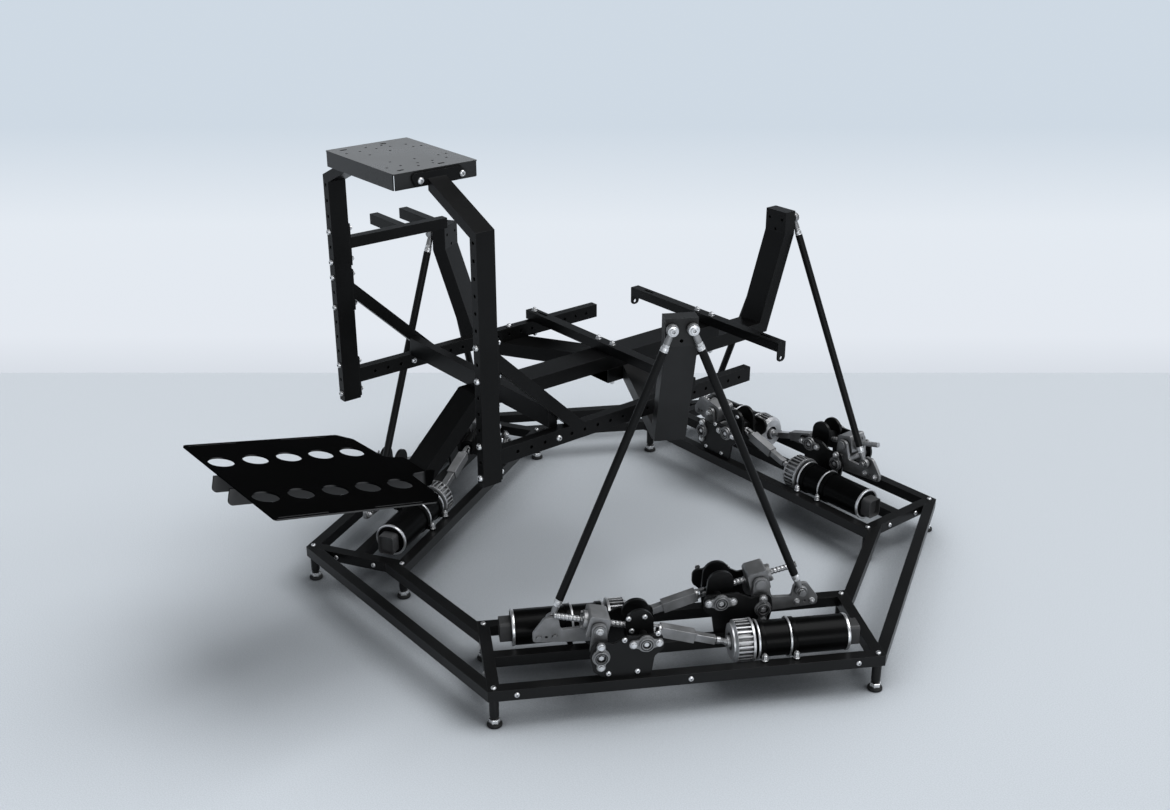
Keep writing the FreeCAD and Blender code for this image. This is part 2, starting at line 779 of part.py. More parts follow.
# Flange bearings: oval two-bolt flanges with a round boss, outside both plates.
def flange_shape(spread, upright, bore):
    """An oval flange in the YZ plane with its back at X = 0."""
    lobe = Part.makeCylinder(11, 6)
    shape = Part.makeCylinder(22, 6).multiFuse([Part.makeCylinder(18, 12)])
    for side in (-1, 1):
        ear = lobe.copy()
        ear.translate(Vector(side * spread / 2, 0, 0))
        web = prism([(0, -17), (side * spread / 2, -9), (side * spread / 2, 9), (0, 17)][::side], 6)
        shape = shape.multiFuse([ear, web])
    shape = shape.cut(Part.makeCylinder(bore, 20, Vector(0, 0, -2)))
    if upright:
        shape.rotate(Vector(), Vector(0, 0, 1), 90)
    shape.rotate(Vector(), Vector(1, 1, 1), 120)
    return shape.removeSplitter()


def flange_pieces():
    sources = []
    for name, centre, spread, upright, radius in (
        ("pivot", pivot, 58, True, s.pivot_shaft_radius),
        ("trunnion", trunnion, 63, False, s.trunnion_radius),
    ):
        shape = flange_shape(spread, upright, radius + s.running_clearance)
        outside = off(s.plate_outer_off + s.plate_thickness)
        outer_place = Placement(Vector(outside, centre.y, centre.z), Rotation())
        sources.append(solid(f"{name}_flange_outer", shape, outer_place))
        flipped = shape.copy()
        flipped.rotate(Vector(), Vector(0, 0, 1), 180)
        inside = off(s.plate_inner_off)
        inner_place = Placement(Vector(inside, centre.y, centre.z), Rotation())
        sources.append(solid(f"{name}_flange_inner", flipped, inner_place))
    return sources


keep("flange_bearings", group("flange_set", at_all_drives("flange", flange_pieces())))


# Motors: a round body with an end ring and a terminal cap.
def motor_feature():
    start = Vector(drive_x, s.motor_start, s.motor_height)
    end = Vector(drive_x, s.motor_end, s.motor_height)
    can = rod("motor_can", start, end, "sizes.motor_radius")
    nose = rod("motor_nose", start - Vector(0, 6, 0), start, "0.8 * sizes.motor_radius")
    end_ring = rod("motor_end_ring", end, end + Vector(0, s.motor_ring_long, 0),
                   "sizes.motor_radius + sizes.motor_ring_proud")
    cap = box("motor_cap", "sizes.ring_radius + sizes.drive_off - 24", "sizes.motor_end",
              "sizes.motor_height - 30", "48", "sizes.motor_cap_end - sizes.motor_end", "56")
    return fuse("motor_master", [can, nose, end_ring, cap])


keep("drive_motors", group("motor_set", at_all_drives("motor", [motor_feature()])))


# Motor hubs: finned round housings between motor and shaft joint.
def hub_shape():
    core = 0.82 * s.hub_radius
    long = s.hub_end - s.hub_start
    flange = 6
    shoulder = s.hub_shoulder
    thick = s.hub_fin_thick
    shape = Part.makeCylinder(core, long)
    shape = shape.fuse(Part.makeCylinder(s.hub_radius, flange, Vector(0, 0, long - flange)))
    fins = []
    for index in range(int(s.hub_fins)):
        fin = Part.makeBox(s.hub_radius - core, thick, long - shoulder - flange + 1,
                           Vector(core - 2, -thick / 2, shoulder - 0.5))
        fin.rotate(Vector(), Vector(0, 0, 1), index * 360 / s.hub_fins)
        fins.append(fin)
    rim = Part.makeCone(0.72 * s.hub_radius, 0.97 * s.hub_radius, shoulder)
    shape = shape.multiFuse(fins + [rim])
    mouth = Part.makeCylinder(0.5 * core, long * 0.6)
    shape = shape.cut(mouth)
    joint = s.joint_front_along - s.hub_start
    cup = Part.makeCylinder(s.joint_ball_radius + 5, long * 0.6 - joint, Vector(0, 0, joint))
    cup = cup.cut(Part.makeSphere(s.joint_ball_radius + 0.3, Vector(0, 0, joint)))
    shape = shape.fuse(cup)
    shape.rotate(Vector(), Vector(1, 0, 0), -90)
    return shape


hub_place = Placement(Vector(drive_x, s.hub_start, s.motor_height), Rotation())
hub = solid("hub_master", hub_shape(), hub_place)
keep("motor_hubs", group("hub_set", at_all_drives("hub", [hub])))


# Arms: box tube standing on the floor beams, leaning outwards to the rod end plate.
def arm_shape(star_end):
    """Arm and its floor beam in the module frame; star_end gives the beam's inner corners."""
    lean = math.atan2(s.arm_radius - s.arm_foot_radius, s.arm_bend - s.arm_bottom)
    path = [(s.arm_foot_radius, s.arm_bottom), (s.arm_radius, s.arm_bend), (s.arm_radius, s.arm_top)]
    left, right = mitred(path[::-1], s.arm_depth)
    foot = s.arm_foot_radius - s.arm_depth / math.cos(lean)
    right[-1] = (foot, s.arm_bottom)
    outer = prism(left + right[::-1], s.arm_width, -s.arm_width / 2)
    wall = s.tube_wall
    hollow_path = mitred(path[::-1], wall)[1]
    hollow_left, hollow_right = mitred(hollow_path, s.arm_depth - 2 * wall)
    hollow_left[0] = (hollow_left[0][0], s.arm_top - wall)
    hollow_right[0] = (hollow_right[0][0], s.arm_top - wall)
    inner = prism(hollow_left + hollow_right[::-1], s.arm_width - 2 * wall, wall - s.arm_width / 2)
    arm = outer.cut(inner)
    arm.rotate(Vector(), Vector(1, 0, 0), 90)
    beam_top = s.frame_top - s.frame_tube_deep
    joint = foot + (beam_top - s.arm_bottom) * math.tan(lean)
    half = s.arm_width / 2
    beam_low = beam_top - s.frame_tube_deep
    beam = prism(star_end + [(joint, half), (joint, -half)], s.frame_tube_deep, beam_low)
    hollow = [(x, y * (half - wall) / half) for x, y in star_end]
    hollow = prism(hollow + [(joint - 6, half - wall), (joint - 6, wall - half)],
                   s.frame_tube_deep - 2 * wall, beam_low + wall)
    shape = arm.fuse(beam.cut(hollow))
    for side, height in ((-1, s.eye_height), (1, s.eye_height), (0, s.eye_height - 32)):
        shape = shape.cut(Part.makeCylinder(s.bolt_hole_radius, s.arm_depth + 4,
                          Vector(s.arm_radius - s.arm_depth - 2, side * s.eye_spread, height), Vector(1, 0, 0)))
    return shape


half_arm = s.arm_width / 2
cos30 = math.cos(math.radians(30))
star_rear = [(s.star_front, -half_arm), (s.star_front, half_arm)]
star_side = [((half_arm + half_arm / 2) / cos30, -half_arm), ((half_arm - half_arm / 2) / cos30, half_arm)]
star_mirror = [(star_side[1][0], -half_arm), (star_side[0][0], half_arm)]
keep("arm_rear", solid("arm_rear_tube", arm_shape(star_rear)), turned(90))
keep("arm_right", solid("arm_right_tube", arm_shape(star_side)), turned(-30))
keep("arm_left", solid("arm_left_tube", arm_shape(star_mirror)), turned(210))


# Central beam: box tube that bends down at its front into the pedal boom.
def central_beam():
    top = s.frame_top
    drop = s.beam_bend - s.boom_end
    path = [(s.beam_rear, top), (s.beam_bend, top), (s.boom_end, top - drop)]
    shape = capped_tube(path[::-1], s.frame_tube_deep, s.arm_width, s.tube_wall)
    shape.rotate(Vector(), Vector(1, 1, 1), 120)
    return shape


keep("central_beam", solid("central_beam_tube", central_beam()))


# Rows of the uprights' holes, counted from the lowest, that take the bolts of the
# rail's, the brace's and the shifter arm's end plates.
RAIL_BOLTS = (0, 2)
BRACE_BOLTS = (6, 8)
SHIFTER_BOLTS = (9, 11)


def upright_hole(row):
    """Height of one row of holes in the uprights."""
    return s.upright_foot + s.upright_hole_first + row * s.hole_pitch


# Seat rails: side tubes with a row of holes, end plates at the upright and a brace.
def seat_rail(side):
    low = s.frame_top - s.frame_tube_deep
    wall = s.tube_wall
    front = s.upright_rear + s.end_plate_thick
    x_low = s.rail_outside - s.rail_wide
    long = s.rail_rear - front
    shape = Part.makeBox(s.rail_wide, long, s.frame_tube_deep, Vector(x_low, front, low))
    inner = Part.makeBox(s.rail_wide - 2 * wall, long - wall, s.frame_tube_deep - 2 * wall,
                         Vector(x_low + wall, front, low + wall))
    shape = shape.cut(inner)
    end_plates = []
    for first, last in RAIL_BOLTS, BRACE_BOLTS:
        start = upright_hole(first) - s.end_plate_margin
        high = upright_hole(last) + s.end_plate_margin - start
        corner = Vector(x_low, s.upright_rear, start)
        end_plates.append(Part.makeBox(s.rail_wide, s.end_plate_thick, high, corner))
    rise = s.brace_top - s.frame_top
    cut_rise = s.brace_deep * math.sqrt(1 + ((s.brace_foot - s.upright_rear) / rise) ** 2)
    cut_run = cut_rise * (s.brace_foot - s.upright_rear) / rise
    brace = prism([
        (s.upright_rear, s.brace_top),
        (s.brace_foot, s.frame_top),
        (s.brace_foot - cut_run, s.frame_top),
        (s.upright_rear, s.brace_top - cut_rise),
    ], s.brace_wide)
    brace.rotate(Vector(), Vector(1, 1, 1), 120)
    brace.translate(Vector(x_low, 0, 0))
    shape = shape.multiFuse(end_plates + [brace]).removeSplitter()
    holes = []
    for index in range(int((long - s.rail_hole_first) / s.hole_pitch) + 1):
        along = s.upright_rear + s.rail_hole_first + index * s.hole_pitch
        spot = Vector(x_low - 1, along, low + s.frame_tube_deep / 2)
        holes.append(Part.makeCylinder(s.bolt_hole_radius, s.rail_wide + 2, spot, Vector(1, 0, 0)))
    for row in RAIL_BOLTS + BRACE_BOLTS:
        spot = Vector(x_low + s.rail_wide / 2, s.upright_rear - 1, upright_hole(row))
        holes.append(Part.makeCylinder(s.bolt_hole_radius, s.end_plate_thick + 2, spot, Vector(0, 1, 0)))
    shape = shape.cut(holes)
    if side < 0:
        shape = shape.mirror(Vector(), Vector(1, 0, 0))
    return shape


# Uprights: tube with a row of holes, bent inwards and welded to the deck's side plate.
def upright(side):
    lean = math.radians(s.upright_lean)
    plate_x = s.deck_half_width + s.deck_plate
    run = s.rail_outside - plate_x
    path = [(s.rail_outside, s.upright_foot), (s.rail_outside, s.upright_bend),
            (plate_x, s.upright_bend + run / math.tan(lean))]
    left, right = mitred(path[::-1], s.rail_wide)
    right[0] = (plate_x, right[1][1] + (right[1][0] - plate_x) / math.tan(lean))
    outer = prism(left + right[::-1], s.upright_deep)
    wall = s.tube_wall
    hollow_left = mitred(path[::-1], wall)[1]
    hollow_right = mitred(path[::-1], s.rail_wide - wall)[1]
    hollow = prism(hollow_left + hollow_right[::-1], s.upright_deep - 2 * wall, wall)
    shape = outer.cut(hollow)
    shape.rotate(Vector(), Vector(1, 0, 0), 90)
    shape.translate(Vector(0, s.upright_rear, 0))
    plate = plate_shape([rounded([
        (s.deck_front + 56, s.deck_top - 37),
        (s.deck_front + 166, s.deck_top - 37),
        (s.deck_rear - 34, s.deck_top - 5, 10),
        (s.deck_front + 40, s.deck_top - 5, 10),
    ])], s.deck_plate)
    plate.rotate(Vector(), Vector(1, 1, 1), 120)
    plate.translate(Vector(s.deck_half_width, 0, 0))
    shape = shape.fuse(plate)
    holes = []
    middle = s.rail_outside - s.rail_wide / 2
    for row in range(int((s.upright_bend - s.upright_foot) / s.hole_pitch)):
        spot = Vector(middle, s.upright_rear - s.upright_deep - 1, upright_hole(row))
        holes.append(Part.makeCylinder(s.bolt_hole_radius, s.upright_deep + 2, spot, Vector(0, 1, 0)))
    shape = shape.cut(holes)
    if side < 0:
        shape = shape.mirror(Vector(), Vector(1, 0, 0))
    return shape


for name, side in (("right", 1), ("left", -1)):
    keep(f"seat_rail_{name}", solid(f"seat_rail_{name}_tube", seat_rail(side)))
    keep(f"upright_{name}", solid(f"upright_{name}_tube", upright(side)))

keep("front_cross_beam", tube(
    "cross_beam", "sizes.rail_wide + sizes.part_gap - sizes.rail_outside",
    "sizes.cross_beam_y - sizes.cross_beam_wide", "sizes.frame_top",
    "2 * (sizes.rail_outside - sizes.rail_wide - sizes.part_gap)",
    "sizes.cross_beam_wide", "sizes.cross_beam_deep", "x", closed=True))


# Wheel deck: folded sheet with open corners, four slots and a field of holes.
def wheel_deck():
    body = new_body("wheel_deck_sheet")
    top = [
        (-s.deck_half_width, s.deck_front, 3),
        (s.deck_half_width, s.deck_front, 3),
        (s.deck_half_width, s.deck_rear, 3),
        (-s.deck_half_width, s.deck_rear, 3),
    ]
    pad(body, "deck_top_sheet", "XY_Plane", rounded(top), "sizes.deck_sheet", s.deck_top - s.deck_sheet)
    corner_gap = 4
    sheet_thick = s.deck_sheet
    across = s.deck_half_width - corner_gap
    for name, y in (("front", s.deck_front), ("rear", s.deck_rear - sheet_thick)):
        pad(body, f"{name}_flange", "XY_Plane",
            rounded([(-across, y), (across, y), (across, y + sheet_thick), (-across, y + sheet_thick)]),
            "sizes.deck_flange - sizes.deck_sheet", s.deck_top - s.deck_flange)
    for name, x in (("left", -s.deck_half_width), ("right", s.deck_half_width - sheet_thick)):
        low = s.deck_front + corner_gap
        high = s.deck_rear - corner_gap
        pad(body, f"{name}_flange", "XY_Plane",
            rounded([(x, low), (x + sheet_thick, low), (x + sheet_thick, high), (x, high)]),
            "sizes.deck_flange - sizes.deck_sheet", s.deck_top - s.deck_flange)
    middle = (s.deck_front + s.deck_rear) / 2
    loops = []
    rows = ((-91, (90,)), (-55, (45, 90)), (-24, (116,)), (-10, (91,)), (5, (53,)), (17, (113,)),
            (29, (92,)), (70, (54, 88)), (92, (53,)))
    for along, spreads in rows:
        for spread in spreads:
            for side in (-1, 1):
                loops += ring(side * spread, middle + along, 3.2)
    for along in (-78, 30):
        for side in (-1, 1):
            x = side * 127
            loops += rounded([(x - 4, middle + along - 9, 3.9), (x + 4, middle + along - 9, 3.9),
                              (x + 4, middle + along + 9, 3.9), (x - 4, middle + along + 9, 3.9)])
    pocket(body, "deck_holes", "XY_Plane", loops, s.deck_top)
    return body


keep("wheel_deck", wheel_deck())


# Seat bars: two cross bars with slots; the rear one has hanging end tabs.
def seat_bar(name, y, half, tabs):
    low = s.frame_top
    wall = s.tube_wall
    y_low = y - s.seat_bar_wide / 2
    shape = Part.makeBox(2 * half, s.seat_bar_wide, s.seat_bar_deep, Vector(-half, y_low, low))
    inner = Part.makeBox(2 * (half - wall), s.seat_bar_wide - 2 * wall, s.seat_bar_deep - 2 * wall,
                         Vector(wall - half, y_low + wall, low + wall))
    shape = shape.cut(inner)
    slots = []
    for side in (-1, 1):
        outline = [(-22, -4, 3.9), (22, -4, 3.9), (22, 4, 3.9), (-22, 4, 3.9)]
        slot = plate_shape([rounded(outline)], s.seat_bar_deep + 4, low - 2)
        slot.translate(Vector(side * (half - 62), y, 0))
        slots.append(slot)
    shape = shape.cut(slots)
    if tabs:
        for side in (-1, 1):
            tab = plate_shape([
                rounded([(-15, -30, 12), (15, -30, 12), (15, s.seat_bar_deep), (-15, s.seat_bar_deep)]),
                ring(0, -20, 5.5),
            ], 4)
            tab.rotate(Vector(), Vector(1, 1, 1), 120)
            tab.translate(Vector(half if side > 0 else -half - 4, y, low))
            shape = shape.fuse(tab)
    return solid(name, shape)


keep("seat_bars", group("seat_bar_set", [
    seat_bar("front_seat_bar", s.front_bar_y, s.front_bar_half, False),
    seat_bar("rear_seat_bar", s.rear_bar_y, s.rear_bar_half, True),
]))


# Shifter arm: side bar on the left upright with two stubs that point outwards.
def shifter_arm():
    x_low = -s.rail_outside
    front = s.upright_rear + s.end_plate_thick
    corner = Vector(x_low, front, s.shifter_height)
    bar = Part.makeBox(s.shifter_wide, s.shifter_end - front, s.shifter_deep, corner)
    start, end = (upright_hole(row) for row in SHIFTER_BOLTS)
    end_plate = Part.makeBox(s.shifter_wide, s.end_plate_thick, end - start + 2 * s.end_plate_margin,
                             Vector(x_low, s.upright_rear, start - s.end_plate_margin))
    for height in (start, end):
        spot = Vector(x_low + s.shifter_wide / 2, s.upright_rear - 1, height)
        hole = Part.makeCylinder(s.bolt_hole_radius, s.end_plate_thick + 2, spot, Vector(0, 1, 0))
        end_plate = end_plate.cut(hole)
    pieces = [end_plate]
    for y in (s.stub_first, s.stub_second):
        pieces.append(Part.makeBox(s.shifter_stub, s.shifter_wide, s.shifter_deep,
                                   Vector(x_low - s.shifter_stub, y - s.shifter_wide / 2, s.shifter_height)))
    return bar.multiFuse(pieces).removeSplitter()


keep("shifter_arm", solid("shifter_arm_tube", shifter_arm()))


# Pedal plate: tilted sheet with two rows of round holes, on a channel that holds the boom.
def pedal_plate():
    body = new_body("pedal_sheet")
    half = s.pedal_half_width
    front = -43
    outline = [
        (-half, front, 10),
        (half, front, 10),
        (half, 385, 14),
        (206, 415, 14),
        (62, 425, 20),
        (52, 475, 8),
        (-52, 475, 8),
        (-62, 425, 20),
        (-206, 415, 14),
        (-half, 385, 14),
    ]
    pad(body, "pedal_sheet_pad", "XY_Plane", rounded(outline), "sizes.pedal_sheet", -s.pedal_sheet)
    pocket(body, "first_holes", "XY_Plane",
           ring(-s.pedal_hole_spread, 0, s.pedal_hole_radius)
           + ring(s.pedal_hole_spread, 0, s.pedal_hole_radius))
    row = body.newObject("PartDesign::LinearPattern", "hole_rows")
    row.Originals = [body.Tip]
    row.Direction = (next(f for f in body.Origin.OriginFeatures if f.Role == "Y_Axis"), [""])
    row.setExpression("Length", "4 * sizes.pedal_hole_pitch")
    row.Occurrences = 5
    body.Tip = row
    doc.recompute()
    loops = []
    for side in (-1, 1):
        for start, end in ((-30, 98), (218, 350)):
            x = side * (half - 9)
            loops += rounded([(x - 2, start, 1.9), (x + 2, start, 1.9), (x + 2, end, 1.9), (x - 2, end, 1.9)])
    pocket(body, "edge_slits", "XY_Plane", loops)
    wall_x = s.arm_width / 2 + 0.3
    deep = s.pedal_channel_deep
    for name, x in (("left", -wall_x - 4), ("right", wall_x)):
        wall = rounded([(front - 11, -s.pedal_sheet), (510, -s.pedal_sheet),
                        (510, -deep, 14), (front - 11, -deep, 14)])
        pad(body, f"channel_{name}", "YZ_Plane", wall, "4", x)
    return body


tilt = Rotation(Vector(1, 0, 0), -s.pedal_tilt)
keep("pedal_plate", pedal_plate(), Placement(Vector(0, s.pedal_front_y, s.pedal_front_z), tilt))


# Fasteners: button heads, through bolts with nuts, and the motor clamps.
def button(spot, way, shank=0.0):
    """A button head seated at a spot; way points out of the surface."""
    head = Part.makeCone(s.bolt_head_radius, 0.55 * s.bolt_head_radius, s.bolt_head_height, spot, way)
    if shank:
        head = head.fuse(Part.makeCylinder(s.bolt_shank_radius, shank, spot, way * -1))
    return head


def nut_end(spot, way):
    """A nut seated at a spot with the end of the thread standing out of it."""
    nut = prism(hexagon_points(s.nut_corner_radius), s.nut_height)
    nut = nut.fuse(Part.makeCylinder(s.bolt_shank_radius, s.nut_height + s.thread_end))
    nut.Placement = Placement(spot, Rotation(Vector(0, 0, 1), way))
    return nut


def clamp_shape(along):
    """A band and a ring round the motor, with two feet on the rails beside it."""
    wide = s.clamp_wide
    foot = s.clamp_foot
    centre = Vector(drive_x, along - wide / 2, s.motor_height)
    way = Vector(0, 1, 0)
    band = Part.makeCylinder(s.motor_radius + s.clamp_thick, wide, centre, way)
    ring_start = centre - way * s.clamp_ring_wide
    bright_ring = Part.makeCylinder(s.motor_radius + s.clamp_ring_thick, s.clamp_ring_wide, ring_start, way)
    inner_corner = Vector(off(s.clamp_foot_inner), centre.y, s.rail_top)
    outer_corner = Vector(off(s.clamp_foot_outer), centre.y, s.rail_top)
    inner_foot = Part.makeBox(foot, wide, s.clamp_thick, inner_corner)
    outer_foot = Part.makeBox(foot, wide, s.clamp_thick, outer_corner)
    bore = Part.makeCylinder(s.motor_radius + s.motor_clearance, 4 * wide, centre - way * wide, way)
    stud_off = s.clamp_foot_outer + foot - 9
    stud = nut_end(Vector(off(stud_off), along, s.rail_top + s.clamp_thick), Vector(0, 0, 1))
    return band.multiFuse([bright_ring, inner_foot, outer_foot]).cut(bore).fuse(stud)


base_pieces = []
for module, angle in MODULES.items():
    place = turned(angle)
    out = place.Rotation.multVec(Vector(1, 0, 0))
    mid = s.rail_top - s.rail_side / 2
    for along in (-s.side_bolt_spread, 0, s.side_bolt_spread):
        base_pieces.append(button(place.multVec(Vector(outer_rail, along, mid)), out))
    for end in (-1, 1):
        way = place.Rotation.multVec(Vector(0, end, 0))
        for off_axis in (s.ring_radius - s.end_bolt_spread, s.ring_radius + s.end_bolt_spread):
            base_pieces.append(button(place.multVec(Vector(off_axis, end * half_module, mid)), way))
    for off_axis, along in module_corners():
        spot = place.multVec(Vector(off_axis, along, s.rail_top))
        base_pieces.append(button(spot, Vector(0, 0, 1)))
clamps = [solid("clamp_first", clamp_shape(s.clamp_first)),
          solid("clamp_second", clamp_shape(s.clamp_second))]
base_solids = [solid("base_bolt", shape) for shape in base_pieces] + at_all_drives("clamp", clamps)
keep("base_fasteners", group("base_fastener_set", base_solids))

platform_pieces = []
middle = s.rail_outside - s.rail_wide / 2
ahead = Vector(0, -1, 0)
for side in (-1, 1):
    for row in RAIL_BOLTS + BRACE_BOLTS + (SHIFTER_BOLTS if side < 0 else ()):
        spot = Vector(side * middle, s.upright_rear - s.upright_deep, upright_hole(row))
        platform_pieces.append(button(spot, ahead, s.upright_deep + s.end_plate_thick))
        nut_spot = Vector(spot.x, s.upright_rear + s.end_plate_thick, spot.z)
        platform_pieces.append(nut_end(nut_spot, ahead * -1))
    for y in (s.deck_bolt_front, s.deck_bolt_rear):
        spot = Vector(side * (s.deck_half_width + s.deck_plate), y, s.deck_top - 24)
        platform_pieces.append(button(spot, Vector(side, 0, 0)))
    for y in (s.front_bar_y, s.rear_bar_y):
        platform_pieces.append(button(Vector(side * 30, y, s.frame_top + s.seat_bar_deep), Vector(0, 0, 1)))
for angle in MODULES.values():
    place = turned(angle)
    way = place.Rotation.multVec(Vector(1, 0, 0))
    for side in (-1, 1):
        spot = place.multVec(Vector(eye_x + 8.5, side * s.eye_spread, s.eye_height))
        long = s.eye_gap + 8.5
        head = Part.makeCylinder(9, 5, spot, way)
        shank = Part.makeCylinder(s.eye_bolt_radius, long + 10, spot, way * -1)
        platform_pieces.append(head.fuse(shank))
platform_solids = [solid("platform_bolt", shape) for shape in platform_pieces]
keep("platform_fasteners", group("platform_fastener_set", platform_solids))

doc.recompute()
for feature in doc.Objects:
    if "Invalid" in feature.State or "Error" in feature.State:
        raise ValueError(f"{feature.Name} failed: {feature.State}")
for node, feature in parts.items():
    if feature.Shape.isNull() or not feature.Shape.isValid():
        raise ValueError(node + " has no valid shape")
os.makedirs("parts", exist_ok=True)
for node, feature in parts.items():
    feature.Shape.exportStep(f"parts/{node}.step")
print(len(parts), "nodes")
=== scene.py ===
import json
import math

import bmesh
import bpy
from mathutils import Matrix, Vector

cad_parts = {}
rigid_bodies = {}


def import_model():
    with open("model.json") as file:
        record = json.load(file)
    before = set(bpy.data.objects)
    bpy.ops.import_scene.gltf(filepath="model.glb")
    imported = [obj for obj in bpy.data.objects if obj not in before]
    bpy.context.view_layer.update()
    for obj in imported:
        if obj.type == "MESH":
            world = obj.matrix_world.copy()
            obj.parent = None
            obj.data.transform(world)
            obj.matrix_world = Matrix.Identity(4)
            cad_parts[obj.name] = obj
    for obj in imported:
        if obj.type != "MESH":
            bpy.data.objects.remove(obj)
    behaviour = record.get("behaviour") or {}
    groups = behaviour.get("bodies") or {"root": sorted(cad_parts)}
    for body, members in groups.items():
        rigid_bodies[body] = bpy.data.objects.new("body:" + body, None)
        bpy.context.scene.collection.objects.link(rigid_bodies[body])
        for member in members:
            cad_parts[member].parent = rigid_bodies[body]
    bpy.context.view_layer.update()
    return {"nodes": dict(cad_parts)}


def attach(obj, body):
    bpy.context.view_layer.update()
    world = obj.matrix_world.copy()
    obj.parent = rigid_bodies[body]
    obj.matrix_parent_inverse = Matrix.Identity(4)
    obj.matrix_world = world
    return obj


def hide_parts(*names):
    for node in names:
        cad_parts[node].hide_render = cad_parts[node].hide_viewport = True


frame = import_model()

nodes = frame["nodes"]
scene = bpy.context.scene
scene.view_settings.view_transform = "Standard"

# Camera. A standing viewer's place off the front right corner of the rig, looking
# down on the ring of base modules.
camera_spot = Vector((2.7033, -2.3549, 2.0402))
camera_turn = math.radians(51.10)
camera_dip = math.radians(23.58)
camera = bpy.data.objects.new("camera", bpy.data.cameras.new("camera"))
scene.collection.objects.link(camera)
camera.location = camera_spot
camera.rotation_euler = (math.pi / 2 - camera_dip, 0, camera_turn)
camera.data.sensor_width = 36
camera.data.lens = 41.65
scene.camera = camera


# Shader maths. A wire is one output of a material's node, and sums on wires add the
# Math nodes that work them out.
class Wire:
    def __init__(self, tree, socket=None):
        self.tree = tree
        self.socket = socket

    def node(self, kind, settings=None, values=None, out=0):
        made = self.tree.nodes.new("ShaderNode" + kind)
        for name, value in (settings or {}).items():
            if name == "stops":
                stops = made.color_ramp.elements
                stops[0].position, stops[0].color = value[0]
                stops[1].position, stops[1].color = value[-1]
                for place, shade in value[1:-1]:
                    stops.new(place).color = shade
            else:
                setattr(made, name, value)
        for name, value in (values or {}).items():
            if isinstance(value, Wire):
                self.tree.links.new(value.socket, made.inputs[name])
            else:
                made.inputs[name].default_value = value
        return Wire(self.tree, made.outputs[out] if made.outputs else None)

    def maths(self, operation, *terms):
        return self.node("Math", {"operation": operation}, dict(enumerate(terms)))

    def blend(self, amount, low, high):
        """A colour between low and high."""
        return self.node("Mix", {"data_type": "RGBA"}, {0: amount, 6: low, 7: high}, out=2)

    def band(self, low, high):
        """0 below low, 1 above high, smooth between."""
        return self.node("MapRange", {"interpolation_type": "SMOOTHSTEP"},
                         {"Value": self, "From Min": low, "From Max": high})

    def __add__(self, other):
        return self.maths("ADD", self, other)

    def __sub__(self, other):
        return self.maths("SUBTRACT", self, other)

    def __rsub__(self, other):
        return self.maths("SUBTRACT", other, self)

    def __mul__(self, other):
        return self.maths("MULTIPLY", self, other)

    def __truediv__(self, other):
        return self.maths("DIVIDE", self, other)

    __radd__ = __add__
    __rmul__ = __mul__


def grey(level, blue=0.0):
    return (level, level, level * (1 + blue), 1)


# Floor. Smooth pale studio floor with a fine speckle, with painted shade close to the rails
# and a soft painted shadow under the whole rig. Past the line where it meets the wall it
# shows the camera a glowing painted wall: a pale gradient of painted light.
floor_half = 60
wall_line = 4.994
photo_wide, photo_high, photo_wall_row = 1170, 810, 373
focal = camera.data.lens / camera.data.sensor_width * photo_wide
bpy.ops.object.select_all(action="DESELECT")
bpy.ops.mesh.primitive_plane_add(size=2 * floor_half)
floor = bpy.context.object
floor.name = "floor"
floor_paint = bpy.data.materials.new("studio_floor")
floor_paint.use_nodes = True
tree = floor_paint.node_tree
tree.nodes.clear()
wire = Wire(tree)
place = wire.node("TexCoord", out=3)
ahead = Vector((-math.sin(camera_turn), math.cos(camera_turn), 0))
shifted = wire.node("VectorMath", {"operation": "SUBTRACT"}, {0: place, 1: camera_spot})
depth = wire.node("VectorMath", {"operation": "DOT_PRODUCT"}, {0: shifted, 1: ahead}, out=1)
near = depth * math.cos(camera_dip) + camera_spot.z * math.sin(camera_dip)
drop = camera_spot.z * math.cos(camera_dip) - depth * math.sin(camera_dip)
row = (drop / near * focal + photo_high / 2) / photo_wall_row
# Painted light: the wall glows brightest in a middle band and darker towards the top, with painted
# shade near its corner with the floor.
painted_wall_light = row.node("ValToRGB", {"stops": [
    (0.0, (0.62, 0.695, 0.775, 1)),
    (0.34, (0.62, 0.695, 0.775, 1)),
    (0.60, (0.775, 0.825, 0.885, 1)),
    (0.90, (0.775, 0.815, 0.875, 1)),
    (1.0, (0.69, 0.73, 0.79, 1)),
]}, {"Fac": row})
speckle = wire.node("TexNoise", None, {"Vector": place, "Scale": 300.0, "Detail": 2.0})
floor_shade = wire.blend(speckle.band(0.3, 0.7), (0.60, 0.635, 0.67, 1),
                         (0.67, 0.705, 0.745, 1))
# Painted shade: the floor darkens where the rails and feet close it in.
painted_shade_near_rails = wire.node("AmbientOcclusion", {"samples": 8}, {"Distance": 0.45}, out=1)
floor_shade = wire.blend(painted_shade_near_rails.band(0.15, 1.0), (0.13, 0.138, 0.147, 1), floor_shade)
# Painted shadow: a soft dark patch under the rig, centred a little off its middle.
painted_shadow_middle = (-0.1, -0.2, 0)
from_rig = wire.node("VectorMath", {"operation": "DISTANCE"}, {0: place, 1: painted_shadow_middle}, out=1)
painted_rig_shadow = wire.blend(0.76, (0, 0, 0, 1), floor_shade)
floor_shade = wire.blend(from_rig.band(0.55, 1.35), painted_rig_shadow, floor_shade)
lit = wire.node("BsdfPrincipled", None, {"Base Color": floor_shade, "Roughness": 0.75})
wall = wire.node("Emission", None, {"Color": painted_wall_light})
seen = wire.node("LightPath")
past_line = depth.maths("GREATER_THAN", depth, wall_line)
mixed = wire.node("MixShader", None, {0: past_line * seen, 1: lit, 2: wall})
wire.node("OutputMaterial", None, {"Surface": mixed})
floor.data.materials.append(floor_paint)

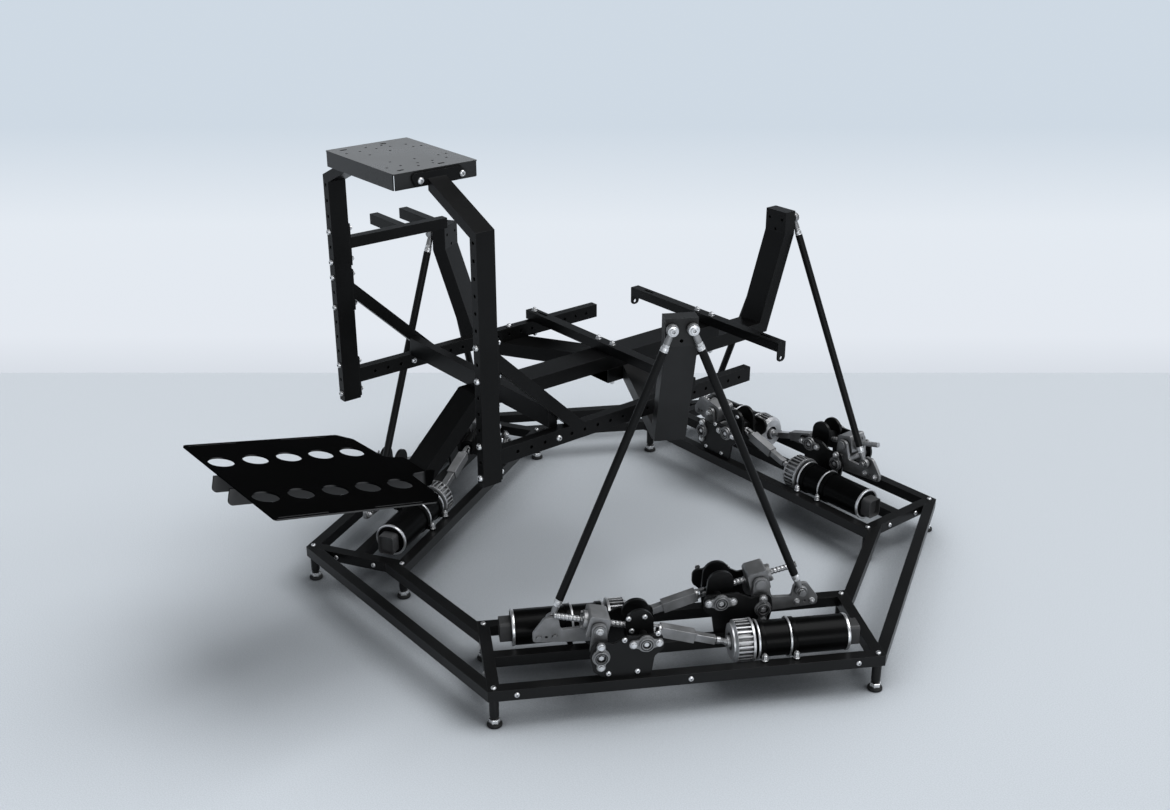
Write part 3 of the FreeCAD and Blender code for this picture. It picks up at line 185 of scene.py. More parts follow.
# Light. A soft key light from high on the right, a weak fill and a low front light from
# the viewer's side, and air that is bright along the horizon and dark overhead.
world = bpy.data.worlds.new("studio_air")
scene.world = world
world.use_nodes = True
air = Wire(world.node_tree)
height = air.node("SeparateXYZ", None, {"Vector": air.node("TexCoord")}, out=2)
glow = height.node("ValToRGB", {"stops": [
    (0.0, (0.72, 0.78, 0.85, 1)),
    (0.20, (0.68, 0.74, 0.81, 1)),
    (0.31, (0.06, 0.065, 0.07, 1)),
    (1.0, (0.06, 0.065, 0.07, 1)),
]}, {"Fac": height})
world.node_tree.links.new(glow.socket, world.node_tree.nodes["Background"].inputs["Color"])
for name, compass, above, spread, power in (
    ("key_light", 50, 62, 50, 2.7),
    ("fill_light", -60, 50, 90, 0.55),
    ("front_light", -19, 8, 24, 0.55),
):
    lamp = bpy.data.lights.new(name, "SUN")
    lamp.angle = math.radians(spread)
    lamp.energy = power
    lamp.color = (0.96, 0.98, 1.0)
    holder = bpy.data.objects.new(name, lamp)
    scene.collection.objects.link(holder)
    holder.rotation_euler = (math.radians(90 - above), 0, math.radians(90 + compass))


# Welded frame. Square steel tube and bent plate under satin black powder coat, which
# has a faint orange peel and a thin, greyer film along the edges. The arm on the right
# module has a greyer, glossier copy of the coat as painted light for its lit front face.
def worn_edges(wire, reach):
    """1 along sharp edges, 0 on flat faces; reach is in metres."""
    soft = wire.node("Bevel", {"samples": 4}, {"Radius": reach})
    hard = wire.node("NewGeometry", out=1)
    meet = wire.node("VectorMath", {"operation": "DOT_PRODUCT"}, {0: soft, 1: hard}, out=1)
    return (1.0 - meet).band(0.015, 0.22)


def coat(name, shade, sheen, edge=0.5, peel=0.06, gloss=0.22, painted_top_light=0, painted_flank_light=None):
    """Powder coat or paint. With a top grey, upward faces are painted that paler grey as painted
    light and holes get painted shade; with a flank shade, faces towards +X or -X are painted that
    lighter grey as painted light, as far along Y as given."""
    paint = bpy.data.materials.new(name)
    paint.use_nodes = True
    surface = paint.node_tree.nodes["Principled BSDF"]
    wire = Wire(paint.node_tree)
    place = wire.node("TexCoord", out=3)
    cloud = wire.node("TexNoise", None, {"Vector": place, "Scale": 7.0, "Detail": 4.0})
    grain = wire.node("TexNoise", None, {"Vector": place, "Scale": 850.0, "Detail": 1.0})
    rim = worn_edges(wire, 0.0016) * edge
    body = wire.blend(cloud.band(0.35, 0.7), grey(shade * 0.8), grey(shade * 1.25, 0.03))
    colour = wire.blend(rim, body, grey(shade * 3 + 0.012))
    rough = cloud * 0.14 + (sheen - 0.07) + grain * 0.05
    facing = wire.node("NewGeometry", out=1)
    # Painted light: faces towards +X or -X take a lighter grey, as far along Y as given.
    if painted_flank_light:
        flank_light_level, flank_end = painted_flank_light
        painted_side_light = wire.node("SeparateXYZ", None, {"Vector": facing})
        painted_side_light = painted_side_light.maths("ABSOLUTE", painted_side_light).band(0.8, 1.0)
        along = wire.node("SeparateXYZ", None, {"Vector": place}, out=1)
        painted_side_light = painted_side_light * (1.0 - along.band(flank_end, flank_end + 0.015))
        colour = wire.blend(painted_side_light, colour, grey(flank_light_level))
    # Painted light: upward faces take a paler grey. Painted shade: holes and tight recesses go
    # nearly black and rough.
    if painted_top_light:
        upward = wire.node("SeparateXYZ", None, {"Vector": facing}, out=2)
        colour = wire.blend(upward.band(0.8, 1.0), colour, grey(painted_top_light))
        painted_occlusion = wire.node("AmbientOcclusion", {"samples": 8}, {"Distance": 0.02}, out=1)
        painted_occlusion = painted_occlusion.band(0.75, 0.98)
        colour = wire.blend(painted_occlusion, grey(shade * 0.05), colour)
        rough = wire.maths("MAXIMUM", rough, 1.0 - painted_occlusion)
    soft = wire.node("Bevel", {"samples": 4}, {"Radius": 0.0012})
    bump = wire.node("Bump", None, {"Strength": peel, "Distance": 0.0004, "Height": grain,
                                    "Normal": soft})
    for socket, value in (("Base Color", colour), ("Roughness", rough), ("Normal", bump)):
        paint.node_tree.links.new(value.socket, surface.inputs[socket])
    surface.inputs["Specular IOR Level"].default_value = gloss
    return paint


def dress(finish, *names):
    for name in names:
        node = nodes[name]
        node.data.materials.clear()
        node.data.materials.append(finish)


powder_black = coat("powder_black", 0.005, 0.32)
frame_black = coat("frame_black", 0.004, 0.34, gloss=0.12)
modules = ("right", "rear", "left")
dress(powder_black, "link_rails", *[f"module_frame_{module}" for module in modules])
dress(frame_black, "central_beam", "seat_rail_right", "seat_rail_left", "upright_right",
      "upright_left", "front_cross_beam", "seat_bars", "shifter_arm", "arm_rear", "arm_left")
# Painted light: the right arm gets a greyer copy of the coat for its lit front face.
dress(coat("arm_black_painted_light", 0.014, 0.42, gloss=0.3), "arm_right")

# Wheel deck and pedal plate. Laser cut sheet; the deck has a smoother coat, painted paler
# on top as painted light and with painted shade in its holes, and the pedal plate a dead matt
# one that shoes don't slip on. The walls of the plate's channel that face +X or -X carry painted
# light, a dark grey in place of black.
dress(coat("deck_black", 0.010, 0.26, gloss=0.35, painted_top_light=0.15), "wheel_deck")
# The pedal plate's side walls get a dark grey of painted light.
dress(coat("pedal_black", 0.0012, 0.9, edge=0.1, gloss=0.02, painted_flank_light=(0.06, -0.745)),
      "pedal_plate")

# Drive plates and carriers. Thick laser cut plate with the same coat, smoother where
# it was blasted first.
stations = [f"{module}_{side}" for module in modules for side in ("outer", "inner")]
dress(coat("plate_black", 0.005, 0.3), "drive_plates",
      *[f"screw_carrier_{station}" for station in stations])


# Bare metal parts. Levers and nut blocks are cast and machined, hubs are cast
# aluminium, shafts are ground; all keep a grey skin with fine scratches, with painted shade that
# darkens them in recesses.
def metal(name, shade, rough, scratch=0.05, stretch=(1, 1, 1), edge=0.6):
    skin = bpy.data.materials.new(name)
    skin.use_nodes = True
    surface = skin.node_tree.nodes["Principled BSDF"]
    wire = Wire(skin.node_tree)
    place = wire.node("TexCoord", out=3)
    cloud = wire.node("TexNoise", None, {"Vector": place, "Scale": 22.0, "Detail": 5.0})
    drawn = wire.node("Mapping", None, {"Vector": place, "Scale": stretch})
    lines = wire.node("TexNoise", None, {"Vector": drawn, "Scale": 600.0, "Detail": 3.0})
    rim = worn_edges(wire, 0.0012) * edge
    # Painted shade: recesses and crevices darken to a much darker grey.
    painted_occlusion = wire.node("AmbientOcclusion", {"samples": 6}, {"Distance": 0.012}, out=1)
    body = wire.blend(cloud.band(0.3, 0.75), grey(shade * 0.78), grey(shade * 1.12, 0.02))
    body = wire.blend(painted_occlusion.band(0.1, 0.9), grey(shade * 0.12), body)
    colour = wire.blend(rim, body, grey(min(0.9, shade * 1.5)))
    soft = wire.node("Bevel", {"samples": 4}, {"Radius": 0.0009})
    bump = wire.node("Bump", None, {"Strength": scratch, "Distance": 0.0003, "Height": lines,
                                    "Normal": soft})
    for socket, value in (("Base Color", colour), ("Roughness", cloud * 0.2 + (rough - 0.1)),
                          ("Normal", bump)):
        skin.node_tree.links.new(value.socket, surface.inputs[socket])
    surface.inputs["Metallic"].default_value = 0.85
    return skin


cast_grey = metal("cast_grey", 0.30, 0.5, scratch=0.15)
ground_steel = metal("ground_steel", 0.42, 0.33, stretch=(1, 1, 0.1))
hub_cast = metal("hub_cast", 0.55, 0.42, scratch=0.12)
dress(cast_grey, *[f"lever_{station}" for station in stations],
      *[f"drive_nut_{station}" for station in stations], "flange_bearings")
dress(hub_cast, "motor_hubs")
zinc = metal("bright_zinc", 0.78, 0.3, scratch=0.03, edge=0.3)

# Feet. A black rubber pad on the floor, a bright hexagon nut that sets the height, and
# a turned steel leg that stands in the corner of each module.
def turned_part(name, sides, radius, steps, skin, angle=35):
    """A part turned along +Z from a disc; each step is (rise, new radius)."""
    bpy.ops.object.select_all(action="DESELECT")
    bpy.ops.mesh.primitive_circle_add(vertices=sides, radius=radius, fill_type="NGON")
    piece = bpy.context.object
    piece.name = name
    bpy.ops.object.mode_set(mode="EDIT")
    bpy.ops.mesh.select_all(action="SELECT")
    for rise, wide in steps:
        bpy.ops.mesh.extrude_region_move(TRANSFORM_OT_translate={"value": (0, 0, rise)})
        bpy.ops.transform.resize(value=(wide / radius, wide / radius, 1))
        radius = wide
    bpy.ops.mesh.select_all(action="SELECT")
    bpy.ops.mesh.normals_make_consistent(inside=False)
    bpy.ops.object.mode_set(mode="OBJECT")
    bpy.ops.object.shade_smooth_by_angle(angle=math.radians(angle))
    piece.data.materials.append(skin)
    return piece


def seat(spot, out=(0, 0, 1)):
    """The place of a part that stands on a spot and points outwards."""
    return Matrix.Translation(spot) @ Vector(out).to_track_quat("Z", "Y").to_matrix().to_4x4()


def lay_out(name, master, places, body="base"):
    """Copies of a modelled part, one at each place, as one piece on a body."""
    pile = bmesh.new()
    for place in places:
        copy = master.data.copy()
        copy.transform(place)
        if place.determinant() < 0:
            copy.flip_normals()
        pile.from_mesh(copy)
        bpy.data.meshes.remove(copy)
    mesh = bpy.data.meshes.new(name)
    pile.to_mesh(mesh)
    pile.free()
    for skin in master.data.materials:
        mesh.materials.append(skin)
    piece = bpy.data.objects.new(name, mesh)
    scene.collection.objects.link(piece)
    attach(piece, body)
    return piece


def module_turn(module):
    return Matrix.Rotation(math.radians({"right": -30, "rear": 90, "left": 210}[module]), 4, "Z")


ring_radius = 0.6535
rail_top = 0.1075
inner_rail, outer_rail = 0.49475, 0.81225
half_tube = 0.015
corner_along = 0.485
rubber = coat("foot_rubber", 0.012, 0.6, edge=0.1)
foot_places = [module_turn(module) @ Matrix.Translation((across, along, 0))
               for module in modules
               for across in (inner_rail + half_tube, outer_rail - half_tube)
               for along in (-corner_along, corner_along)]
bright_zinc = metal("polished_zinc", 0.9, 0.25, scratch=0.02, edge=0.2)
pad = turned_part("pad_model", 40, 0.0175, [
    (0.0015, 0.019), (0.004, 0.019), (0.002, 0.0178), (0.0012, 0.0150), (0.0003, 0.0135)], rubber)
height_nut = turned_part("height_nut_model", 6, 0.0135, [
    (0.0008, 0.0144), (0.0100, 0.0144), (0.0008, 0.0132)], bright_zinc, angle=20)
leg = turned_part("leg_model", 32, 0.0085, [
    (0.008, 0.0085), (0, 0.0112), (0.001, 0.012), (0.0485, 0.012), (0.001, 0.0115)], powder_black)
pads = lay_out("foot_pads", pad, foot_places)
lay_out("foot_height_nuts", height_nut,
        [place @ Matrix.Translation((0, 0, 0.009)) for place in foot_places])
lay_out("foot_legs", leg, [place @ Matrix.Translation((0, 0, 0.0185)) for place in foot_places])
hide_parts("levelling_feet")


# Button head bolts. Zinc plated bolts with a domed head and a hexagon socket; they hold
# the rails, the module ends and the deck. Those of the platform's tubes have tall heads.
def hex_socket(piece, radius):
    """The socket's ring, the narrowest one, is drawn in to a hexagon."""
    for vertex in piece.data.vertices:
        if radius * 0.5 < vertex.co.xy.length < radius * 1.02:
            angle = math.atan2(vertex.co.y, vertex.co.x) % (math.pi / 3) - math.pi / 6
            shrink = math.cos(math.pi / 6) / math.cos(angle)
            vertex.co.x *= shrink
            vertex.co.y *= shrink


button = turned_part("button_model", 24, 0.0070, [
    (0.0008, 0.0070), (0.0015, 0.0064), (0.0013, 0.0053), (0.0006, 0.0040), (0, 0.0029),
    (-0.0024, 0.0028)], zinc)
hex_socket(button, 0.0029)
rail_middle = rail_top - half_tube
module_end = 0.5
module_bolts = [seat((outer_rail, along, rail_middle), (1, 0, 0)) for along in (-0.43, 0, 0.43)]
module_bolts += [seat((ring_radius + across, end * module_end, rail_middle), (0, end, 0))
                 for across in (-0.06, 0.06) for end in (-1, 1)]
module_bolts += [seat((across, along, rail_top))
                 for across in (inner_rail + half_tube, outer_rail - half_tube)
                 for along in (-corner_along, corner_along)]
base_bolts = lay_out("base_bolts", button, [module_turn(module) @ place for module in modules
                                            for place in module_bolts])
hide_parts("base_fasteners")
hole_lowest, hole_pitch = 0.606, 0.041
frame_top, frame_deep, upright_x = 0.670, 0.040, 0.3275
upright_rows = [(side, hole_lowest + hole_pitch * row) for side in (-1, 1)
                for row in ((0, 2, 6, 8) + ((9, 11) if side < 0 else ()))]
tall = Matrix.Diagonal((1.15, 1.15, 1.6, 1))
wide = Matrix.Diagonal((1.15, 1.15, 1, 1))
frame_bolts = [seat((side * upright_x, -0.753, height), (0, -1, 0)) @ tall
               for side, height in upright_rows]
frame_bolts += [seat((rail_face, -0.530, frame_top - frame_deep / 2), (1, 0, 0)) @ tall
                for rail_face in (0.340, -0.315)]
frame_bolts += [seat((side * upright_x, -0.195, frame_top)) @ tall for side in (-1, 1)]
frame_bolts += [seat((side * 0.1558, along, 1.288), (side, 0, 0)) @ wide
                for side in (-1, 1) for along in (-0.7716, -0.6595)]
platform_bolts = lay_out("platform_bolts", button, frame_bolts, "platform")
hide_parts("platform_fasteners")

# Hexagon nuts. Each sits on a washer with the end of its stud standing out; they close
# the upright's bolts, hold the seat bars from above and below and draw the motor straps
# down.
washer = turned_part("washer_model", 28, 0.0084, [
    (0.0002, 0.0088), (0.0008, 0.0088), (0.0002, 0.0084)], zinc)
hexagon = turned_part("hexagon_model", 6, 0.0070, [
    (0.0006, 0.0075), (0.0052, 0.0075), (0.0006, 0.0068), (0, 0.0048)], zinc, angle=20)
stud = turned_part("stud_model", 16, 0.0040, [(0.0100, 0.0040), (0.0006, 0.0034)], zinc)


def as_one(name, *pieces):
    """Parts joined as one model; each is (part, lift)."""
    bpy.ops.object.select_all(action="DESELECT")
    copies = []
    for part, lift in pieces:
        copy = bpy.data.objects.new(name, part.data.copy())
        copy.data.transform(Matrix.Translation((0, 0, lift)))
        scene.collection.objects.link(copy)
        copy.select_set(True)
        copies.append(copy)
    bpy.context.view_layer.objects.active = copies[0]
    bpy.ops.object.join()
    return copies[0]


nut_set = as_one("nut_set_model", (washer, 0), (hexagon, 0.0008), (stud, 0))
bar_front, bar_rear, bar_top = -0.101, 0.277, 0.697
frame_nuts = [seat((side * upright_x, -0.699, height), (0, 1, 0)) for side, height in upright_rows]
frame_nuts += [seat((side * 0.03, along, height), (0, 0, way))
               for height, way in ((bar_top, 1), (frame_top - 2 * frame_deep, -1))
               for side in (-1, 1) for along in (bar_front, bar_rear)]
frame_nuts += [seat((side * upright_x, bar_front, height), (0, 0, way))
               for side in (-1, 1) for height, way in ((bar_top, 1), (frame_top - frame_deep, -1))]
lay_out("platform_nuts", nut_set, frame_nuts, "platform")

# Motor straps. A black painted band holds the motor on the two rails, with a bright
# rolled ring beside it and a nut on a long stud at the outer foot.
drive_x = 0.7275
motor_height = 0.134
stud_line = ring_radius + 0.134


def station_turn(station):
    module, side = station.split("_")
    place = module_turn(module)
    if side == "inner":
        place = (place @ Matrix.Translation((2 * ring_radius, 0, 0))
                 @ Matrix.Rotation(math.pi, 4, "Z"))
    if module == "left":
        place = place @ Matrix.Diagonal((1, -1, 1, 1))
    return place


def hoop(name, sides, radius, wide, thick, edge, skin):
    """A band round +Z from z 0 up, with its wall inside the radius and soft edges."""
    bpy.ops.object.select_all(action="DESELECT")
    bpy.ops.mesh.primitive_circle_add(vertices=sides, radius=radius)
    piece = bpy.context.object
    piece.name = name
    bpy.ops.object.mode_set(mode="EDIT")
    bpy.ops.mesh.select_all(action="SELECT")
    bpy.ops.mesh.extrude_region_move(TRANSFORM_OT_translate={"value": (0, 0, wide)})
    bpy.ops.mesh.select_all(action="SELECT")
    bpy.ops.mesh.normals_make_consistent(inside=False)
    bpy.ops.object.mode_set(mode="OBJECT")
    wall = piece.modifiers.new("wall", "SOLIDIFY")
    wall.thickness = thick
    wall.offset = -1
    bpy.ops.object.modifier_apply(modifier="wall")
    soft = piece.modifiers.new("soft", "BEVEL")
    soft.width = edge
    soft.segments = 2
    soft.limit_method = "ANGLE"
    soft.angle_limit = math.radians(60)
    bpy.ops.object.modifier_apply(modifier="soft")
    bpy.ops.object.shade_smooth_by_angle(angle=math.radians(40))
    piece.data.materials.append(skin)
    return piece


motor_enamel = coat("motor_enamel", 0.002, 0.28, edge=0.1, gloss=0.06)
band = hoop("band_model", 64, 0.0493, 0.014, 0.0029, 0.0006, motor_enamel)
bright_ring = hoop("bright_ring_model", 64, 0.0515, 0.006, 0.0050, 0.0024, zinc)
bpy.ops.object.select_all(action="DESELECT")
bpy.ops.mesh.primitive_cube_add(size=1, scale=(0.030, 0.014, 0.0033), location=(0.015, 0, 0.00165))
bpy.ops.object.transform_apply()
strap_foot = bpy.context.object
soft = strap_foot.modifiers.new("soft", "BEVEL")
soft.width = 0.0008
soft.segments = 2
bpy.ops.object.modifier_apply(modifier="soft")
strap_foot.data.materials.append(motor_enamel)
strap_foot.name = "strap_foot_model"
long_stud = as_one("long_stud_model", (washer, 0), (hexagon, 0.0008), (hexagon, 0.0074),
                   (stud, 0.007))
drive_places = [station_turn(station) for station in stations]
strap_lines = (0.193, 0.275)
straps = [(place, line) for place in drive_places for line in strap_lines]
lay_out("strap_bands", band,
        [place @ seat((drive_x, line - 0.007, motor_height), (0, 1, 0)) for place, line in straps])
lay_out("strap_rings", bright_ring,
        [place @ seat((drive_x, line - 0.013, motor_height), (0, 1, 0)) for place, line in straps])
lay_out("strap_feet", strap_foot,
        [place @ Matrix.Translation((ring_radius + across, line, rail_top))
         for place, line in straps for across in (0.005, 0.113)])
lay_out("strap_nuts", long_stud,
        [place @ seat((stud_line, line, rail_top + 0.0033)) for place, line in straps])
lay_out("strap_under_nuts", nut_set,
        [place @ seat((stud_line, line, rail_top - 2 * half_tube), (0, 0, -1))
         for place, line in straps])

# Motors. A smooth black drawn can with a rolled bright ring at its end and a grey
# terminal cap with a dark open mouth.
can_start, can_long = 0.172, 0.240
can = turned_part("can_model", 72, 0.0368, [
    (0.006, 0.0368), (0, 0.0448), (0.0012, 0.0460), (0.2328, 0.0460), (0, 0.0440)], motor_enamel)
end_ring = hoop("end_ring_model", 72, 0.0475, 0.008, 0.0060, 0.0018, zinc)
end_plate = turned_part("end_plate_model", 72, 0.0425, [
    (0.0055, 0.0425), (0.0004, 0.0415), (0, 0.030), (-0.0008, 0.029)], motor_enamel)
cap_grey = coat("cap_grey", 0.05, 0.45, edge=0.2)
bpy.ops.object.select_all(action="DESELECT")
bpy.ops.mesh.primitive_cube_add(size=1, scale=(0.048, 0.038, 0.056),
                                location=(drive_x, 0.431, 0.132))
bpy.ops.object.transform_apply()
cap = bpy.context.object
bpy.ops.object.mode_set(mode="EDIT")
edit = bmesh.from_edit_mesh(cap.data)
for edge in edit.edges:
    ends = [vertex.co for vertex in edge.verts]
    edge.select_set(abs(ends[0].y - ends[1].y) > 0.03)
bmesh.update_edit_mesh(cap.data)
bpy.ops.mesh.bevel(offset=0.009, segments=5)
edit = bmesh.from_edit_mesh(cap.data)
for face in edit.faces:
    face.select_set(face.normal.y > 0.9)
bmesh.update_edit_mesh(cap.data)
bpy.ops.mesh.inset(thickness=0.0025)
bpy.ops.mesh.extrude_region_move(TRANSFORM_OT_translate={"value": (0, -0.014, 0)})
bpy.ops.object.mode_set(mode="OBJECT")
cap.data.materials.append(cap_grey)
bpy.ops.object.shade_smooth_by_angle(angle=math.radians(40))
cap.name = "cap_model"
motor_places = [place @ seat((drive_x, can_start, motor_height), (0, 1, 0))
                for place in drive_places]
motors = lay_out("motor_cans", can, motor_places)
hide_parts("drive_motors")
can_ends = [place @ Matrix.Translation((0, 0, can_long)) for place in motor_places]
lay_out("motor_end_rings", end_ring, can_ends)
lay_out("motor_end_plates", end_plate, can_ends)
lay_out("motor_caps", cap, drive_places)

# Bearing bolts. Both flange bearings of a plate are held by hexagon bolts on washers,
# and a bolt in the end of each shaft keeps it in its bearing's dark steel ring.
bolt_head = turned_part("bolt_head_model", 6, 0.0068, [
    (0.0004, 0.0072), (0.0036, 0.0072), (0.0007, 0.0060)], zinc, angle=20)
bolt_set = as_one("bolt_set_model", (washer, 0), (bolt_head, 0.0011))
dark_steel = metal("dark_steel", 0.06, 0.35)
race = hoop("race_model", 40, 0.0158, 0.0012, 0.0030, 0.0004, dark_steel)
big_washer = turned_part("big_washer_model", 32, 0.0092, [
    (0.0002, 0.0096), (0.0012, 0.0096), (0.0002, 0.0092)], zinc)
shaft_bolt = as_one("shaft_bolt_model", (big_washer, 0), (bolt_head, 0.0015))
pivot = Vector((0, -0.223, 0.172))
trunnion = Vector((0, -0.112, 0.200))
sides = ((ring_radius + 0.152, ring_radius + 0.149, 1), (ring_radius, ring_radius + 0.002, -1))
flange_bolts, races = [], []
for lobe_x, shaft_x, out in sides:
    for middle, lobe in ((pivot, Vector((0, 0, 0.029))), (trunnion, Vector((0, 0.0315, 0)))):
        flange_bolts += [seat((lobe_x, *(middle + lobe * end).yz), (out, 0, 0))
                         for end in (-1, 1)]
        races.append(seat((lobe_x + out * 0.0057, *middle.yz), (out, 0, 0)))
lay_out("bearing_bolts", bolt_set,
        [place @ spot for place in drive_places for spot in flange_bolts])
lay_out("bearing_races", race, [place @ spot for place in drive_places for spot in races])
for station, place in zip(stations, drive_places):
    for part, middle in (("lever", pivot), ("screw_carrier", trunnion)):
        lay_out(f"{part}_shaft_bolts_{station}", shaft_bolt,
                [place @ seat((shaft_x, *middle.yz), (out, 0, 0)) for _, shaft_x, out in sides],
                f"{part}_{station}")

# Ball screws. Ground spindles with a round thread of 10 mm lead; the end towards the
# motor carries the fork of the universal joint.
nut_pin = Vector((drive_x, -0.222, 0.227))
trunnion_mid = Vector((drive_x, *trunnion.yz))
screw_way = (nut_pin - trunnion_mid).normalized()
joint_rear = trunnion_mid - screw_way * 0.030
lead = 0.010
thread_long = 0.2355
bpy.ops.object.select_all(action="DESELECT")
profile = bpy.data.meshes.new("thread_model")
groove = [(0.00795, 0), (0.00795, 0.0046), (0.0075, 0.0052), (0.0070, 0.0061), (0.0068, 0.0073),
          (0.0070, 0.0085), (0.0075, 0.0094), (0.00795, 0.0100)]
profile.from_pydata([(radius, 0, rise - lead) for radius, rise in groove],
                    [(i, i + 1) for i in range(len(groove) - 1)], [])
thread = bpy.data.objects.new("thread_model", profile)
scene.collection.objects.link(thread)
thread.select_set(True)
bpy.context.view_layer.objects.active = thread
winding = thread.modifiers.new("winding", "SCREW")
winding.screw_offset = lead
winding.iterations = 26
winding.steps = winding.render_steps = 20
winding.use_merge_vertices = True
bpy.ops.object.modifier_apply(modifier="winding")
bpy.ops.object.mode_set(mode="EDIT")
for cut, way in ((0, -1), (thread_long, 1)):
    bpy.ops.mesh.select_all(action="SELECT")
    bpy.ops.mesh.bisect(plane_co=(0, 0, cut), plane_no=(0, 0, way), use_fill=True, clear_outer=True)
bpy.ops.mesh.select_all(action="SELECT")
bpy.ops.mesh.remove_doubles(threshold=1e-6)
bpy.ops.mesh.normals_make_consistent(inside=False)
bpy.ops.object.mode_set(mode="OBJECT")
bpy.ops.object.shade_smooth_by_angle(angle=math.radians(50))
# The fork at the screw's end is cut off a copy of the solid screw.
fork = bpy.data.objects.new("fork_model", nodes["drive_screw_right_outer"].data.copy())
fork.data.transform(station_turn("right_outer").inverted())
scene.collection.objects.link(fork)
bpy.ops.object.select_all(action="DESELECT")
fork.select_set(True)
bpy.context.view_layer.objects.active = fork
bpy.ops.object.mode_set(mode="EDIT")
bpy.ops.mesh.select_all(action="SELECT")
bpy.ops.mesh.remove_doubles(threshold=1e-6)
bpy.ops.mesh.bisect(plane_co=joint_rear + screw_way * 0.0168, plane_no=screw_way, use_fill=True,
                    clear_outer=True)
bpy.ops.object.mode_set(mode="OBJECT")
bpy.ops.object.shade_smooth_by_angle(angle=math.radians(40))
thread.data.transform(seat(joint_rear + screw_way * 0.0165, screw_way))
thread.data.materials.append(ground_steel)
fork.data.materials.clear()
fork.data.materials.append(ground_steel)
screw = as_one("screw_model", (thread, 0), (fork, 0))
for station, place in zip(stations, drive_places):
    piece = lay_out(f"ball_screw_{station}", screw, [place], f"drive_screw_{station}")
    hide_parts(f"drive_screw_{station}")

# Cardan shafts. A wide square sleeve with slits slides on a square inner tube; a fork at
# the screw's end holds the cross, and the other end carries the ball of the motor's cup.
joint_front = Vector((drive_x, 0.109, motor_height))
shaft_way = (joint_front - joint_rear).normalized()
shaft_long = (joint_front - joint_rear).length


def square_tube(name, width, long, corner, slit, skin):
    """A square tube along +Z with round corners and a sunk slit in two of its sides."""
    bpy.ops.object.select_all(action="DESELECT")
    bpy.ops.mesh.primitive_cube_add(size=1, scale=(width, width, long), location=(0, 0, long / 2))
    bpy.ops.object.transform_apply()
    tube = bpy.context.object
    tube.name = name
    bpy.ops.object.mode_set(mode="EDIT")
    edit = bmesh.from_edit_mesh(tube.data)
    for edge in edit.edges:
        edge.select_set(abs(edge.verts[0].co.z - edge.verts[1].co.z) > long / 2)
    bmesh.update_edit_mesh(tube.data)
    bpy.ops.mesh.bevel(offset=corner, segments=4)
    for way in (1, -1):
        edit = bmesh.from_edit_mesh(tube.data)
        for face in edit.faces:
            face.select_set(face.normal.x * way > 0.99)
        bmesh.update_edit_mesh(tube.data)
        bpy.ops.mesh.inset(thickness=width * 0.22)
        bpy.ops.transform.resize(value=(1, slit, 1))
        bpy.ops.mesh.extrude_region_move(TRANSFORM_OT_translate={"value": (-0.003 * way, 0, 0)})
    bpy.ops.object.mode_set(mode="OBJECT")
    soft = tube.modifiers.new("soft", "BEVEL")
    soft.width = 0.0005
    soft.segments = 1
    soft.limit_method = "ANGLE"
    soft.angle_limit = math.radians(50)
    bpy.ops.object.modifier_apply(modifier="soft")
    bpy.ops.object.shade_smooth_by_angle(angle=math.radians(35))
    tube.data.materials.append(skin)
    return tube


sleeve_start = 0.0205
sleeve = square_tube("sleeve_model", 0.0280, shaft_long * 0.46, 0.0050, 0.35, cast_grey)
inner_tube = square_tube("inner_tube_model", 0.0190, shaft_long * 0.30, 0.0035, 0.3, ground_steel)
ear = square_tube("ear_model", 0.0100, 0.0200, 0.0022, 0.5, cast_grey)
ear.data.transform(Matrix.Diagonal((1, 0.36, 1, 1)))
end_collar = turned_part("end_collar_model", 36, 0.0105, [
    (0.0015, 0.0130), (0.005, 0.0140), (0.0015, 0.0130)], ground_steel)
nose = turned_part("nose_model", 32, 0.0095, [
    (0.010, 0.0095), (0.002, 0.0075), (0.012, 0.0070)], ground_steel)
bpy.ops.object.select_all(action="DESELECT")
bpy.ops.mesh.primitive_uv_sphere_add(segments=32, ring_count=20, radius=0.0100)
bpy.ops.object.shade_smooth()
ball = bpy.context.object
ball.name = "ball_model"
ball.data.materials.append(ground_steel)
bpy.ops.object.mode_set(mode="EDIT")
bpy.ops.mesh.bisect(plane_co=(0, 0, -0.0085), plane_no=(0, 0, -1), use_fill=True,
                    clear_outer=True)
bpy.ops.object.mode_set(mode="OBJECT")
cross = turned_part("cross_model", 20, 0.0028, [
    (0.0004, 0.0033), (0.0152, 0.0033), (0.0004, 0.0028)], ground_steel)
side_way = shaft_way.cross(Vector((1, 0, 0))).normalized()
along_shaft = Matrix((Vector((1, 0, 0)), side_way, shaft_way)).transposed().to_4x4()
cardan_parts = [
    (end_collar, Matrix.Translation((0, 0, 0.0135))),
    (sleeve, Matrix.Translation((0, 0, sleeve_start))),
    (inner_tube, Matrix.Translation((0, 0, sleeve_start + shaft_long * 0.44))),
    (nose, Matrix.Translation((0, 0, shaft_long - 0.0290))),
    (ball, Matrix.Translation((0, 0, shaft_long))),
    (ear, Matrix.Translation((0, 0.0094, -0.0045))),
    (ear, Matrix.Translation((0, -0.0094, -0.0045))),
    (cross, Matrix.Translation((0, 0.0080, 0)) @ Matrix.Rotation(math.pi / 2, 4, "X")),
    (cross, Matrix.Translation((-0.0060, 0, 0)) @ Matrix.Diagonal((0.75, 1, 1, 1))
     @ Matrix.Rotation(math.pi / 2, 4, "Y")),
]


